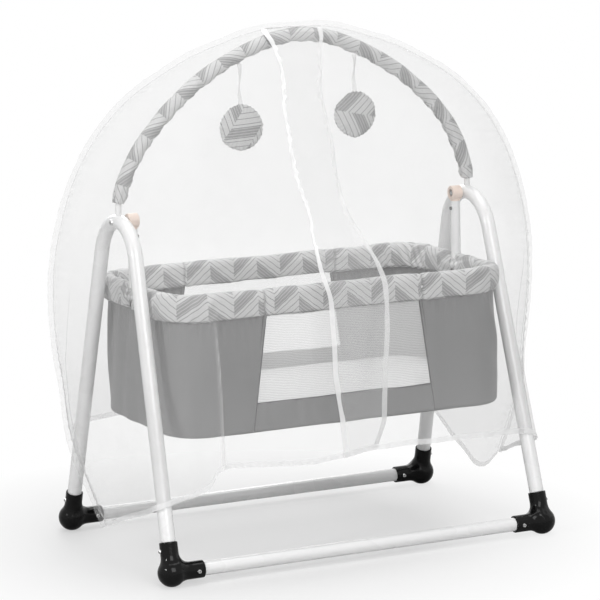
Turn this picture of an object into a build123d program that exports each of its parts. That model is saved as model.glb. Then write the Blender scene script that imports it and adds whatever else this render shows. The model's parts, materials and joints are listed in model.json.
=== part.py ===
"""Baby swing: a tube stand, a cot that swings from two pivots, a toy arch and a net canopy."""

import os
from math import asin, atan2, cos, hypot, pi, radians, sin

from build123d import *

# Driving dimensions in millimetres. X runs along the cot, Y across it, Z up from the floor.
POINT_TOLERANCE = 0.01

# Stand
FOOT_SPAN = 900.0
FOOT_SPREAD = 574.0
PIVOT_HEIGHT = 740.0
FRAME_LEAN = 22.0
LEG_TUBE = 32.0
LEG_BEND = 100.0
BAR_TUBE = 30.0
TUBE_WALL = 1.5
PLUG_FIT = 0.1

# Feet
BALL_DIAMETER = 60.0
BALL_FLAT = 1.0
COLLAR_DIAMETER = 39.0
COLLAR_REACH = 65.0
SOCKET_DIAMETER = 38.0
SOCKET_REACH = 72.0
LEG_SEAT = 24.0
BAR_SEAT = 30.0
NECK_ROUND = 2.0
LIP_ROUND = 1.2
SCREW_SHANK = 4.0
SCREW_HEAD = 8.5
SCREW_HEAD_HEIGHT = 2.6
SCREW_LENGTH = 8.0
SCREW_BOSS = 11.0
BOSS_RISE = 1.0
LEG_SCREW_REACH = 46.0
BAR_SCREW_REACH = 56.0
SCREW_FIT = 0.05
SCREW_HEAD_TAPER = 18.0

# Swing pivots
BOLT = 8.0
BOLT_HEAD = 13.0
BOLT_HEAD_HEIGHT = 5.0
BOLT_SOCKET = 6.0
BOLT_SOCKET_DEPTH = 3.0
SPOT_FACE = 0.6
SPACER = 20.0
SPACER_LENGTH = 7.0
SPACER_EDGE = 2.6
RUN_GAP = 0.4
HUB = 33.0
HUB_LENGTH = 24.0
HUB_ROUND = 2.0
NUT_RECESS = 18.0
NUT_RECESS_DEPTH = 9.0
NUT_FLATS = 13.0
NUT_HEIGHT = 6.0
NUT_GAP = 0.6
BOLT_TIP = 1.5
BUSH = 11.0
BUSH_FIT = 0.05

# Hangers and rim rails
HANGER_TUBE = 22.0
HANGER_SHOULDER = 18.0
HUB_STEM = 34.0
HANGER_SCREW_DROP = 17.0
HANGER_SCREW_HEAD = 9.0
RAIL_HEIGHT = 575.0
RAIL_HALF_WIDTH = 214.0
RAIL_TUBE = 20.0
RAIL_CORNER = 82.0
RAIL_BUTT = 1.0
TEE_SLEEVE = 26.0
TEE_LENGTH = 84.0

# Padded rim cuffs
CUFF_TOP = 27.0
CUFF_BOTTOM = 32.0
CUFF_HALF = 15.5
CUFF_FOOT_HALF = 11.0
CUFF_SHOULDER_HALF = 11.5
CUFF_SHOULDER = 20.0
CUFF_SLIT = 30.0
SOFT_GAP = 0.3

# Cot
COT_DEPTH = 250.0
WALL = 2.4
WALL_INSET = 2.0
WALL_OUTSET = 4.0
CORNER_FOLDS = 3
FOLD_RISE = 3.5
SEAM_TOP = 184.0
SEAM_BOTTOM = 219.0
FRONT_BAND = 62.0
REAR_BAND = 78.0
FLOOR_CLOTH = 2.4
FLOOR_ROUND = 1.8
BOARD = 3.0
BOARD_GAP = 2.0
MATTRESS = 44.0
MATTRESS_CROWN = 5.0
MATTRESS_GAP = 6.0
MATTRESS_TUCK = 7.0
MATTRESS_SHOULDER = 12.0
MATTRESS_CROWN_SHARE = 0.5
MATTRESS_EDGE = 1.0

# Toy arch: radii of its bends, and headings in degrees above level where one bend meets the next
ARCH_TUBE = 13.0
ARCH_WALL = 1.2
ARCH_STRAIGHT = 14.0
ARCH_BOLT_GAP = 1.0
ARCH_TOE_RADIUS = 60.0
ARCH_SHOULDER_RADIUS = 340.0
ARCH_TOP_RADIUS = 280.0
ARCH_HEADINGS = (90.0, 75.0, 51.0, 17.0, -20.0, -44.0, -80.0, -90.0)
SLEEVE = 32.0
SLEEVE_HEADING = 80.0

# Hanging toys
TOY_HEADINGS = {"left": 24.3, "right": -24.5}
TOY_DISC = 104.0
TOY_THICKNESS = 18.0
TOY_SEAM = 2.0
TOY_RIBBON_WIDTH = 9.0
TOY_RIBBON = 1.0
TOY_RIBBON_LENGTHS = {"left": 88.0, "right": 81.0}

# Net canopy: cloth, the slanted edges of its two front flaps, and its hem
NET_CLOTH = 1.0
NET_LAYER_GAP = 0.4
NET_RIBBON = 9.0
NET_RIBBON_CLOTH = 0.8
NET_RIDGE_GAP = 0.8
NET_RIDGE_HALF = 95.0
NET_RIDGE_DEPTH = 10.0
NET_RIDGE_CORNER = 40.0
NET_CORNER_ROUND = 40.0
NET_FOLD_SHARE = 0.64
NET_FOLD_RISE = 16.0
NET_FOLD_LIMIT = 0.25
NET_ROUND_LIMIT = 0.33
NET_HEM = 238.0
RIGHT_FLAP_TOP = -84.0
RIGHT_FLAP_HEM = -62.0
LEFT_FLAP_TOP = 62.0
LEFT_FLAP_HEM = 32.0

# Net levels under the ridge: drop, seam overhang past the apex, corner set-back, half depth
NET_RIDGE_LEVELS = (
    (27.0, -253.0, 60.0, 30.0),
    (44.0, -192.0, 80.0, 38.0),
    (70.0, -138.0, 100.0, 50.0),
    (130.0, -31.0, 130.0, 72.0),
    (210.0, 50.0, 140.0, 102.0),
    (302.0, 105.0, 150.0, 138.0),
    (366.0, 127.0, 158.0, 168.0),
)
# Net levels round the legs: height, seam overhang past the apex, corner set-back, depth past the feet
NET_LEG_LEVELS = (
    (700.0, 147.0, 162.0, -75.0),
    (645.0, 155.0, 160.0, -32.0),
    (590.0, 159.0, 157.0, -10.0),
    (475.0, 154.0, 137.0, 11.0),
    (400.0, 140.0, 113.0, 16.0),
    (274.0, 130.0, 86.0, 19.0),
    (70.0, 50.0, 16.0, 21.0),
)
# Hem round each end of the net, from the front to the rear: share of the half depth, and height
NET_END_HEMS = {
    "left": ((-0.90, 164.0), (-0.45, 108.0), (0.0, 82.0), (0.40, 120.0), (0.70, 212.0)),
    "right": ((-0.64, 184.0), (-0.10, 132.0), (0.10, 92.0), (0.45, 124.0), (0.75, 182.0)),
}

# Positions worked out from the driving dimensions
foot_x = FOOT_SPAN / 2
foot_y = FOOT_SPREAD / 2
ball_z = BALL_DIAMETER / 2 - BALL_FLAT
apex_x = foot_x - FRAME_LEAN
leg_radius = LEG_TUBE / 2
bar_radius = BAR_TUBE / 2
bolt_radius = BOLT / 2
frame_rise = hypot(FRAME_LEAN, PIVOT_HEIGHT - ball_z)
bend_centre = frame_rise - LEG_BEND
leg_slope = atan2(foot_y, bend_centre) - asin(LEG_BEND / hypot(foot_y, bend_centre))
leg_peak = foot_y * cos(leg_slope) / sin(leg_slope)

bolt_seat = apex_x + leg_radius - SPOT_FACE
hub_outer = apex_x - leg_radius - SPACER_EDGE - RUN_GAP
hub_inner = hub_outer - HUB_LENGTH
hanger_x = (hub_outer + hub_inner) / 2
nut_floor = hub_inner + NUT_RECESS_DEPTH
hanger_top = PIVOT_HEIGHT - HANGER_SHOULDER
hanger_radius = HANGER_TUBE / 2
rail_radius = RAIL_TUBE / 2

wall_top = RAIL_HEIGHT - CUFF_BOTTOM
wall_bottom = wall_top - COT_DEPTH
wall_x = hanger_x - WALL_INSET
wall_y = RAIL_HALF_WIDTH + WALL_OUTSET
wall_corner = RAIL_CORNER
band_tops = {"front": wall_bottom + FRONT_BAND, "rear": wall_bottom + REAR_BAND}
board_top = wall_bottom + BOARD

arch_radius = ARCH_TUBE / 2
arch_foot = PIVOT_HEIGHT + bolt_radius + ARCH_BOLT_GAP
arch_spring = PIVOT_HEIGHT + leg_radius + ARCH_STRAIGHT
sleeve_radius = SLEEVE / 2

# The two flank radii of the arch follow from its span and from its ends being level
bends = list(zip(ARCH_HEADINGS, ARCH_HEADINGS[1:]))
bend_runs = [sin(radians(a)) - sin(radians(b)) for a, b in bends]
bend_rises = [cos(radians(b)) - cos(radians(a)) for a, b in bends]
arch_radii = [
    ARCH_TOE_RADIUS, ARCH_SHOULDER_RADIUS, 0, ARCH_TOP_RADIUS, 0, ARCH_SHOULDER_RADIUS, ARCH_TOE_RADIUS,
]
flank_run = 2 * apex_x - sum(radius * run for radius, run in zip(arch_radii, bend_runs))
flank_rise = -sum(radius * rise for radius, rise in zip(arch_radii, bend_rises))
flank_share = bend_runs[2] * bend_rises[4] - bend_runs[4] * bend_rises[2]
arch_radii[2] = (flank_run * bend_rises[4] - bend_runs[4] * flank_rise) / flank_share
arch_radii[4] = (bend_runs[2] * flank_rise - bend_rises[2] * flank_run) / flank_share

SIDES = {"left": -1, "right": 1}
ENDS = {"front": -1, "rear": 1}

os.makedirs("parts", exist_ok=True)


def save(builder, name):
    """Label a finished piece and write it as its own file."""
    builder.part.label = name
    export_step(builder.part, f"parts/{name}.step")


def frame_plane(side):
    """The leaning plane of one leg frame, its origin midway between the two feet."""
    lean = Vector(-side * FRAME_LEAN, 0, PIVOT_HEIGHT - ball_z).normalized()
    return Plane(
        origin=(side * foot_x, 0, ball_z), x_dir=(0, 1, 0), z_dir=(lean.Z, 0, -lean.X)
    )


def leg_direction(side, end):
    """Unit vector up a leg from the ball of its foot."""
    plane = frame_plane(side)
    return plane.x_dir * (-end * sin(leg_slope)) + plane.y_dir * cos(leg_slope)


def ball_centre(side, end):
    """Centre of a foot's ball."""
    return Vector(side * foot_x, end * foot_y, ball_z)


def pivot_plane(side, distance):
    """A plane square to the swing axis, facing away from the cot."""
    return Plane(origin=(side * distance, 0, PIVOT_HEIGHT), x_dir=(0, 1, 0), z_dir=(side, 0, 0))


def foot_screw_planes(side, end):
    """Head seats of a foot's two screws, facing outward: leg collar, then bar socket."""
    along = leg_direction(side, end)
    across = Vector(side, 0, 0) - along * along.dot(Vector(side, 0, 0))
    across = across.normalized()
    collar_seat = COLLAR_DIAMETER / 2 + BOSS_RISE
    socket_seat = SOCKET_DIAMETER / 2 + BOSS_RISE
    leg_seat = ball_centre(side, end) + along * LEG_SCREW_REACH + across * collar_seat
    bar_seat = ball_centre(side, end) + Vector(-side * BAR_SCREW_REACH, -socket_seat, 0)
    return [Plane(leg_seat, z_dir=across), Plane(bar_seat, z_dir=(0, -1, 0))]


def hanger_screw_plane(side):
    """Head seat of the screw that holds a hub's stem in its hanger, facing the cot."""
    seat = (side * (hanger_x - hanger_radius), 0, hanger_top - HANGER_SCREW_DROP)
    return Plane(seat, z_dir=(-side, 0, 0))


def screw_holes(planes):
    """Clearance cylinders for screws whose heads sit on the given planes."""
    with BuildPart() as holes:
        for plane in planes:
            with BuildSketch(plane):
                Circle(SCREW_SHANK / 2 + SCREW_FIT)
            extrude(amount=-SCREW_LENGTH)
    return holes.part


def leg_bar(side, radius):
    """A solid bar of the given radius along the bent centreline of a leg frame."""
    start = (-foot_y + LEG_SEAT * sin(leg_slope), LEG_SEAT * cos(leg_slope))
    with BuildPart() as bar:
        with BuildLine(frame_plane(side)) as path:
            FilletPolyline(start, (0, leg_peak), (-start[0], start[1]), radius=LEG_BEND)
        with BuildSketch(Plane(path.line @ 0, z_dir=path.line % 0)):
            Circle(radius)
        sweep()
    return bar.part


# Leg frames: one bent tube at each end, drilled for the pivot bolt and the arch
for place, side in SIDES.items():
    with BuildPart() as leg_frame:
        add(leg_bar(side, leg_radius))
        add(leg_bar(side, leg_radius - TUBE_WALL), mode=Mode.SUBTRACT)
        with BuildSketch(pivot_plane(side, apex_x - LEG_TUBE)):
            Circle(bolt_radius + PLUG_FIT)
        extrude(amount=2 * LEG_TUBE, mode=Mode.SUBTRACT)
        with BuildSketch(pivot_plane(side, bolt_seat)):
            Circle(BOLT_HEAD / 2 + PLUG_FIT)
        extrude(amount=LEG_TUBE, mode=Mode.SUBTRACT)
        with BuildSketch(Plane((side * apex_x, 0, PIVOT_HEIGHT))):
            Circle(arch_radius + PLUG_FIT)
        extrude(amount=LEG_TUBE, mode=Mode.SUBTRACT)
        for end in ENDS.values():
            add(screw_holes(foot_screw_planes(side, end)[:1]), mode=Mode.SUBTRACT)
    save(leg_frame, f"{place}_leg_frame")

# Feet: a ball with a collar up the leg and a socket along the floor bar
for end_name, end in ENDS.items():
    for place, side in SIDES.items():
        ball = ball_centre(side, end)
        up_leg = leg_direction(side, end)
        along_bar = Vector(-side, 0, 0)
        with BuildPart() as foot:
            with Locations(ball):
                Sphere(BALL_DIAMETER / 2)
            with BuildSketch(Plane(ball, z_dir=up_leg)):
                Circle(COLLAR_DIAMETER / 2)
            extrude(amount=COLLAR_REACH)
            with BuildSketch(Plane(ball, z_dir=along_bar)):
                Circle(SOCKET_DIAMETER / 2)
            extrude(amount=SOCKET_REACH)
            neck_edges = foot.edges().filter_by(GeomType.CIRCLE)
            neck_edges = neck_edges.filter_by(lambda edge: edge.radius < COLLAR_DIAMETER / 2 + NECK_ROUND)
            fillet(neck_edges.sort_by_distance(ball)[:2], NECK_ROUND)
            fillet(foot.edges().filter_by(GeomType.CIRCLE).sort_by_distance(ball)[-2:], LIP_ROUND)
            for plane in foot_screw_planes(side, end):
                with BuildSketch(plane):
                    Circle(SCREW_BOSS / 2)
                extrude(amount=-2 * BOSS_RISE)
            with BuildSketch(Plane(ball + up_leg * LEG_SEAT, z_dir=up_leg)):
                Circle(leg_radius + PLUG_FIT)
            extrude(amount=COLLAR_REACH, mode=Mode.SUBTRACT)
            with BuildSketch(Plane(ball + along_bar * BAR_SEAT, z_dir=along_bar)):
                Circle(bar_radius + PLUG_FIT)
            extrude(amount=SOCKET_REACH, mode=Mode.SUBTRACT)
            add(screw_holes(foot_screw_planes(side, end)), mode=Mode.SUBTRACT)
            split(bisect_by=Plane.XY, keep=Keep.TOP)
        save(foot, f"{end_name}_{place}_foot")

# Floor bars: plain tubes seated in the foot sockets
for end_name, end in ENDS.items():
    with BuildPart() as floor_bar:
        with BuildSketch(Plane.YZ.offset(BAR_SEAT - foot_x)):
            with Locations((end * foot_y, ball_z)):
                Circle(bar_radius)
                Circle(bar_radius - TUBE_WALL, mode=Mode.SUBTRACT)
        extrude(amount=2 * (foot_x - BAR_SEAT))
        for side in SIDES.values():
            add(screw_holes(foot_screw_planes(side, end)[1:]), mode=Mode.SUBTRACT)
    save(floor_bar, f"{end_name}_floor_bar")

# Foot screws: two pan-head screws in each foot
with BuildPart() as foot_screws:
    for end in ENDS.values():
        for side in SIDES.values():
            for plane in foot_screw_planes(side, end):
                with BuildSketch(plane):
                    Circle(SCREW_HEAD / 2)
                extrude(amount=SCREW_HEAD_HEIGHT, taper=SCREW_HEAD_TAPER)
                with BuildSketch(plane):
                    Circle(SCREW_SHANK / 2)
                extrude(amount=-SCREW_LENGTH)
save(foot_screws, "foot_screws")

# Swing pivots: bolt, saddle spacer, hub with its bush, and lock nut at each apex
for place, side in SIDES.items():
    with BuildPart() as pivot_bolt:
        with BuildSketch(pivot_plane(side, bolt_seat)):
            Circle(BOLT_HEAD / 2)
        extrude(amount=BOLT_HEAD_HEIGHT)
        fillet(pivot_bolt.faces().sort_by(Axis.X)[-1 if side > 0 else 0].edges(), HUB_ROUND)
        with BuildSketch(pivot_plane(side, bolt_seat + BOLT_HEAD_HEIGHT - BOLT_SOCKET_DEPTH)):
            RegularPolygon(BOLT_SOCKET / 2, 6, major_radius=False)
        extrude(amount=BOLT_SOCKET_DEPTH, mode=Mode.SUBTRACT)
        with BuildSketch(pivot_plane(side, hub_inner + BOLT_TIP)):
            Circle(bolt_radius)
        extrude(amount=bolt_seat - hub_inner - BOLT_TIP)
    save(pivot_bolt, f"{place}_pivot_bolt")

    with BuildPart() as pivot_spacer:
        with BuildSketch(pivot_plane(side, hub_outer + RUN_GAP)):
            Circle(SPACER / 2)
            Circle(bolt_radius + PLUG_FIT, mode=Mode.SUBTRACT)
        extrude(amount=SPACER_LENGTH)
        add(leg_bar(side, leg_radius), mode=Mode.SUBTRACT)
    save(pivot_spacer, f"{place}_pivot_spacer")

    with BuildPart() as lock_nut:
        with BuildSketch(pivot_plane(side, nut_floor - NUT_GAP)):
            RegularPolygon(NUT_FLATS / 2, 6, major_radius=False)
            Circle(bolt_radius + SCREW_FIT, mode=Mode.SUBTRACT)
        extrude(amount=-NUT_HEIGHT)
    save(lock_nut, f"{place}_lock_nut")

    with BuildPart() as hub:
        with BuildSketch(pivot_plane(side, hub_inner)):
            Circle(HUB / 2)
        extrude(amount=HUB_LENGTH)
        fillet(hub.edges().filter_by(GeomType.CIRCLE), HUB_ROUND)
        with BuildSketch(Plane((side * hanger_x, 0, hanger_top))):
            Circle(hanger_radius)
        extrude(amount=HANGER_SHOULDER)
        with BuildSketch(Plane((side * hanger_x, 0, hanger_top))):
            Circle(hanger_radius - TUBE_WALL - PLUG_FIT)
        extrude(amount=-HUB_STEM)
        with BuildSketch(pivot_plane(side, hub_inner)):
            Circle(NUT_RECESS / 2)
        extrude(amount=NUT_RECESS_DEPTH, mode=Mode.SUBTRACT)
        with BuildSketch(pivot_plane(side, hub_inner)):
            Circle(BUSH / 2)
        extrude(amount=HUB_LENGTH, mode=Mode.SUBTRACT)
        add(screw_holes([hanger_screw_plane(side)]), mode=Mode.SUBTRACT)
    save(hub, f"{place}_hub")

    with BuildPart() as pivot_bush:
        with BuildSketch(pivot_plane(side, nut_floor)):
            Circle(BUSH / 2)
            Circle(bolt_radius + BUSH_FIT, mode=Mode.SUBTRACT)
        extrude(amount=hub_outer - nut_floor)
    save(pivot_bush, f"{place}_pivot_bush")

    with BuildPart() as hanger:
        with BuildSketch(Plane((side * hanger_x, 0, RAIL_HEIGHT))):
            Circle(hanger_radius)
        extrude(amount=hanger_top - RAIL_HEIGHT)
        with BuildSketch(Plane.XZ.offset(-TEE_LENGTH / 2)):
            with Locations((side * hanger_x, RAIL_HEIGHT)):
                Circle(TEE_SLEEVE / 2)
        extrude(amount=TEE_LENGTH)
        with BuildSketch(Plane((side * hanger_x, 0, RAIL_HEIGHT))):
            Circle(hanger_radius - TUBE_WALL)
        extrude(amount=hanger_top - RAIL_HEIGHT, mode=Mode.SUBTRACT)
        with BuildSketch(Plane.XZ.offset(-TEE_LENGTH / 2)):
            with Locations((side * hanger_x, RAIL_HEIGHT)):
                Circle(rail_radius + PLUG_FIT)
        extrude(amount=TEE_LENGTH, mode=Mode.SUBTRACT)
        add(screw_holes([hanger_screw_plane(side)]), mode=Mode.SUBTRACT)
    save(hanger, f"{place}_hanger")

# Hanger screws: one through each hanger into the stem of its hub
with BuildPart() as hanger_screws:
    for side in SIDES.values():
        with BuildSketch(hanger_screw_plane(side)):
            Circle(HANGER_SCREW_HEAD / 2)
        extrude(amount=SCREW_HEAD_HEIGHT, taper=SCREW_HEAD_TAPER)
        with BuildSketch(hanger_screw_plane(side)):
            Circle(SCREW_SHANK / 2)
        extrude(amount=-SCREW_LENGTH)
save(hanger_screws, "hanger_screws")


def rim_path(end, gap):
    """Half of the rim's centreline, from one hanger round to the other."""
    with BuildLine(Plane.XY.offset(RAIL_HEIGHT)) as path:
        FilletPolyline(
            (hanger_x, end * gap),
            (hanger_x, end * RAIL_HALF_WIDTH),
            (-hanger_x, end * RAIL_HALF_WIDTH),
            (-hanger_x, end * gap),
            radius=RAIL_CORNER,
        )
    return path.line


# Rim rails: two U-shaped tubes whose ends plug into the hanger sleeves
for end_name, end in ENDS.items():
    rail_line = rim_path(end, RAIL_BUTT)
    with BuildPart() as rim_rail:
        with BuildSketch(Plane(rail_line @ 0, z_dir=rail_line % 0)):
            Circle(rail_radius)
            Circle(rail_radius - TUBE_WALL, mode=Mode.SUBTRACT)
        sweep(path=rail_line)
    save(rim_rail, f"{end_name}_rim_rail")

# Rim cuffs: padded sleeves over the rails, round on top and drawn in at the lower seam
for end_name, end in ENDS.items():
    cuff_line = rim_path(end, CUFF_SLIT / 2)
    with BuildPart() as rim_cuff:
        with BuildSketch(Plane(cuff_line @ 0, x_dir=(1, 0, 0), z_dir=cuff_line % 0)):
            with BuildLine():
                foot_left = (-CUFF_FOOT_HALF, end * CUFF_BOTTOM)
                foot_right = (CUFF_FOOT_HALF, end * CUFF_BOTTOM)
                neck_left = (-CUFF_SHOULDER_HALF, -end * CUFF_SHOULDER)
                neck_right = (CUFF_SHOULDER_HALF, -end * CUFF_SHOULDER)
                Line(foot_left, foot_right)
                ThreePointArc(foot_right, (CUFF_HALF, 0), neck_right)
                ThreePointArc(neck_right, (0, -end * CUFF_TOP), neck_left)
                ThreePointArc(neck_left, (-CUFF_HALF, 0), foot_left)
            make_face()
            Circle(rail_radius + SOFT_GAP, mode=Mode.SUBTRACT)
        sweep(path=cuff_line)
        with BuildSketch(Plane.XZ.offset(-end * CUFF_SLIT / 2)):
            with Locations((hanger_x, RAIL_HEIGHT), (-hanger_x, RAIL_HEIGHT)):
                Circle(TEE_SLEEVE / 2 + SOFT_GAP)
        extrude(amount=-end * (TEE_LENGTH - CUFF_SLIT) / 2 - end * SOFT_GAP, mode=Mode.SUBTRACT)
    save(rim_cuff, f"{end_name}_rim_cuff")


def cot_plan(inset):
    """Plan of the cot: straight sides, and soft upright folds round each corner."""
    radius = wall_corner - inset
    centre_x = wall_x - wall_corner
    centre_y = wall_y - wall_corner
    step = pi / 2 / CORNER_FOLDS

    def at(corner, turn, rise):
        angle = corner * pi / 2 + turn
        east = 1 if corner in (0, 3) else -1
        north = 1 if corner in (0, 1) else -1
        reach = radius + rise
        return (east * centre_x + reach * cos(angle), north * centre_y + reach * sin(angle))

    with BuildSketch() as plan:
        with BuildLine():
            for corner in range(4):
                for fold in range(CORNER_FOLDS):
                    ThreePointArc(
                        at(corner, fold * step, 0),
                        at(corner, (fold + 0.5) * step, FOLD_RISE),
                        at(corner, (fold + 1) * step, 0),
                    )
                Line(at(corner, pi / 2, 0), at((corner + 1) % 4, 0, 0))
        make_face()
    return plan.sketch


def seam_plane(side):
    """Slanted seam between a window and the cloth end, facing the end."""
    return Plane(
        (side * SEAM_TOP, 0, wall_top), z_dir=(side * COT_DEPTH, 0, SEAM_BOTTOM - SEAM_TOP)
    )


def cot_wall(bottom, top):
    """A ring of cot wall between two heights."""
    with BuildPart() as ring:
        with BuildSketch(Plane.XY.offset(bottom)):
            add(cot_plan(0))
            add(cot_plan(WALL), mode=Mode.SUBTRACT)
        extrude(amount=top - bottom)
    return ring.part


# Cloth ends: each wraps one end of the cot, from seam to seam
for place, side in SIDES.items():
    with BuildPart() as end_panel:
        add(cot_wall(wall_bottom, wall_top))
        split(bisect_by=seam_plane(side), keep=Keep.TOP)
    save(end_panel, f"{place}_end_panel")

# Mesh windows and the cloth bands below them
for end_name, end in ENDS.items():
    band_top = band_tops[end_name]
    levels = {"mesh_window": (band_top, wall_top), "lower_band": (wall_bottom, band_top)}
    for piece, (bottom, top) in levels.items():
        with BuildPart() as side_panel:
            add(cot_wall(bottom, top))
            for side in SIDES.values():
                split(bisect_by=seam_plane(side), keep=Keep.BOTTOM)
            split(bisect_by=Plane.XZ, keep=Keep.BOTTOM if end > 0 else Keep.TOP)
        save(side_panel, f"{end_name}_{piece}")

# Cot floor, base board and mattress
with BuildPart() as floor_cloth:
    with BuildSketch(Plane.XY.offset(wall_bottom - FLOOR_CLOTH)):
        add(cot_plan(0))
    extrude(amount=FLOOR_CLOTH)
    fillet(floor_cloth.faces().sort_by(Axis.Z)[0].edges(), FLOOR_ROUND)
save(floor_cloth, "floor_cloth")

with BuildPart() as base_board:
    with BuildSketch(Plane.XY.offset(wall_bottom)):
        RectangleRounded(
            2 * (wall_x - WALL - BOARD_GAP),
            2 * (wall_y - WALL - BOARD_GAP),
            wall_corner - WALL - BOARD_GAP,
        )
    extrude(amount=BOARD)
save(base_board, "base_board")

mattress_levels = (
    (0.0, MATTRESS_TUCK),
    (MATTRESS / 2, 0.0),
    (MATTRESS - MATTRESS_SHOULDER, MATTRESS_TUCK / 2),
    (MATTRESS, MATTRESS_SHOULDER + MATTRESS_TUCK),
    (MATTRESS + MATTRESS_CROWN, wall_y * MATTRESS_CROWN_SHARE),
)
with BuildPart() as mattress:
    for level, tuck in mattress_levels:
        inset = WALL + MATTRESS_GAP + tuck
        with BuildSketch(Plane.XY.offset(board_top + level)):
            RectangleRounded(
                2 * (wall_x - inset),
                2 * (wall_y - inset),
                min(wall_corner, wall_y - inset - MATTRESS_EDGE),
            )
    loft(ruled=True)
save(mattress, "mattress")


def arch_point(heading):
    """The point of the arch where its line points this many degrees above level."""
    x, z = -apex_x, arch_spring
    for radius, (start, stop) in zip(arch_radii, bends):
        end = max(heading, stop)
        x += radius * (sin(radians(start)) - sin(radians(end)))
        z += radius * (cos(radians(end)) - cos(radians(start)))
        if heading >= stop:
            break
    return (x, z)


def arch_line(first, straight):
    """The arch's centreline from left to right, from a heading, with straight ends of a length."""
    headings = [first, *[h for h in ARCH_HEADINGS if abs(h) < first], -first]
    left, right = arch_point(first), arch_point(-first)
    with BuildLine(Plane.XZ) as path:
        if straight:
            Line((left[0], left[1] - straight), left)
        for start, stop in zip(headings, headings[1:]):
            ThreePointArc(*[arch_point(h) for h in (start, (start + stop) / 2, stop)])
        if straight:
            Line(right, (right[0], right[1] - straight))
    return path.line


arch_top = arch_point(0)[1]

# Toy arch: a thin bow plugged into the two apexes, and the padded sleeve over it
bow_line = arch_line(ARCH_HEADINGS[0], arch_spring - arch_foot)
with BuildPart() as arch_tube:
    with BuildSketch(Plane(bow_line @ 0, z_dir=bow_line % 0)):
        Circle(arch_radius)
        Circle(arch_radius - ARCH_WALL, mode=Mode.SUBTRACT)
    sweep(path=bow_line)
save(arch_tube, "arch_tube")

sleeve_line = arch_line(SLEEVE_HEADING, 0)
with BuildPart() as arch_sleeve:
    with BuildSketch(Plane(sleeve_line @ 0, z_dir=sleeve_line % 0)):
        Circle(sleeve_radius)
        Circle(arch_radius + SOFT_GAP, mode=Mode.SUBTRACT)
    sweep(path=sleeve_line)
save(arch_sleeve, "arch_sleeve")

# Hanging toys: a flat ribbon and a stuffed disc on each side of the arch
for place, heading in TOY_HEADINGS.items():
    lean = radians(heading)
    drop = sleeve_radius + SOFT_GAP + TOY_RIBBON_WIDTH / 2 * abs(sin(lean))
    arch_x, arch_z = arch_point(heading)
    toy_x = arch_x + drop * sin(lean)
    toy_top = arch_z - drop * cos(lean)
    ribbon_end = toy_top - TOY_RIBBON_LENGTHS[place]
    disc_z = ribbon_end - TOY_DISC / 2
    with BuildPart() as toy_ribbon:
        with BuildSketch(Plane.XY.offset(toy_top)):
            with Locations((toy_x, 0)):
                Rectangle(TOY_RIBBON_WIDTH, TOY_RIBBON)
        extrude(amount=ribbon_end - toy_top)
    save(toy_ribbon, f"{place}_toy_ribbon")

    with BuildPart() as toy_disc:
        with BuildSketch(Plane.XY.offset(disc_z)):
            with BuildLine():
                rim_x = toy_x + TOY_DISC / 2
                half = TOY_THICKNESS / 2
                TangentArc((toy_x, half), (rim_x, TOY_SEAM / 2), tangent=(1, 0))
                Line((rim_x, TOY_SEAM / 2), (rim_x, -TOY_SEAM / 2))
                TangentArc((toy_x, -half), (rim_x, -TOY_SEAM / 2), tangent=(1, 0))
                Line((toy_x, -half), (toy_x, half))
            make_face()
        revolve(axis=Axis((toy_x, 0, disc_z), (0, 1, 0)))
    save(toy_disc, f"{place}_toy_disc")


def net_levels():
    """Every level of the net from the ridge down: height, seam half, corner half, half depth."""
    ridge = arch_top + sleeve_radius + NET_RIDGE_GAP
    levels = [(ridge, NET_RIDGE_HALF, NET_RIDGE_HALF - NET_RIDGE_CORNER, NET_RIDGE_DEPTH)]
    for drop, overhang, setback, depth in NET_RIDGE_LEVELS:
        seam = apex_x + overhang
        levels.append((ridge - drop, seam, seam - setback, depth))
    for z, overhang, setback, past_feet in NET_LEG_LEVELS:
        seam = apex_x + overhang
        levels.append((z, seam, seam - setback, foot_y + past_feet))
    return levels


def net_solid(grow):
    """The space inside the net, grown by a distance: pointed at the end seams, with corner folds."""
    with BuildPart() as dome:
        for z, seam, corner, depth in net_levels():
            level = z + (grow if z > arch_top else 0)
            fold = corner * NET_FOLD_SHARE
            shoulder = depth - min(NET_FOLD_RISE, depth * NET_FOLD_LIMIT)
            front = [
                (-corner - grow, -shoulder - grow),
                (-fold, -depth - grow),
                (fold, -depth - grow),
                (corner + grow, -shoulder - grow),
            ]
            rear = [(x, -y) for x, y in reversed(front)]
            outline = [(-seam - grow, 0), *front, (seam + grow, 0), *rear]
            with BuildSketch(Plane.XY.offset(level)) as section:
                Polygon(*outline, align=None)
                corners = section.vertices().filter_by(
                    lambda vertex: abs(abs(vertex.X) - corner - grow) < POINT_TOLERANCE
                )
                fillet(corners, min(NET_CORNER_ROUND, depth * NET_ROUND_LIMIT))
        loft(ruled=True)
    return dome.part


def net_layer(inner, outer):
    """A layer of cloth between two growths of the net, cut to its drooping hem."""
    hem_y = foot_y + NET_LEG_LEVELS[-1][3] + outer
    with BuildPart() as layer:
        add(net_solid(outer))
        add(net_solid(inner), mode=Mode.SUBTRACT)
        for place, side in SIDES.items():
            with BuildSketch(Plane.YZ):
                with BuildLine():
                    heights = [(share * hem_y, level) for share, level in NET_END_HEMS[place]]
                    Spline((-hem_y, NET_HEM), *heights, (hem_y, NET_HEM), tangents=[(1, 0), (1, 0)])
                    Polyline((hem_y, NET_HEM), (2 * hem_y, NET_HEM), (2 * hem_y, -hem_y))
                    Polyline((2 * hem_y, -hem_y), (-2 * hem_y, -hem_y), (-2 * hem_y, NET_HEM))
                    Line((-2 * hem_y, NET_HEM), (-hem_y, NET_HEM))
                make_face()
            extrude(amount=side * FOOT_SPAN, mode=Mode.SUBTRACT)
    return layer.part


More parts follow.
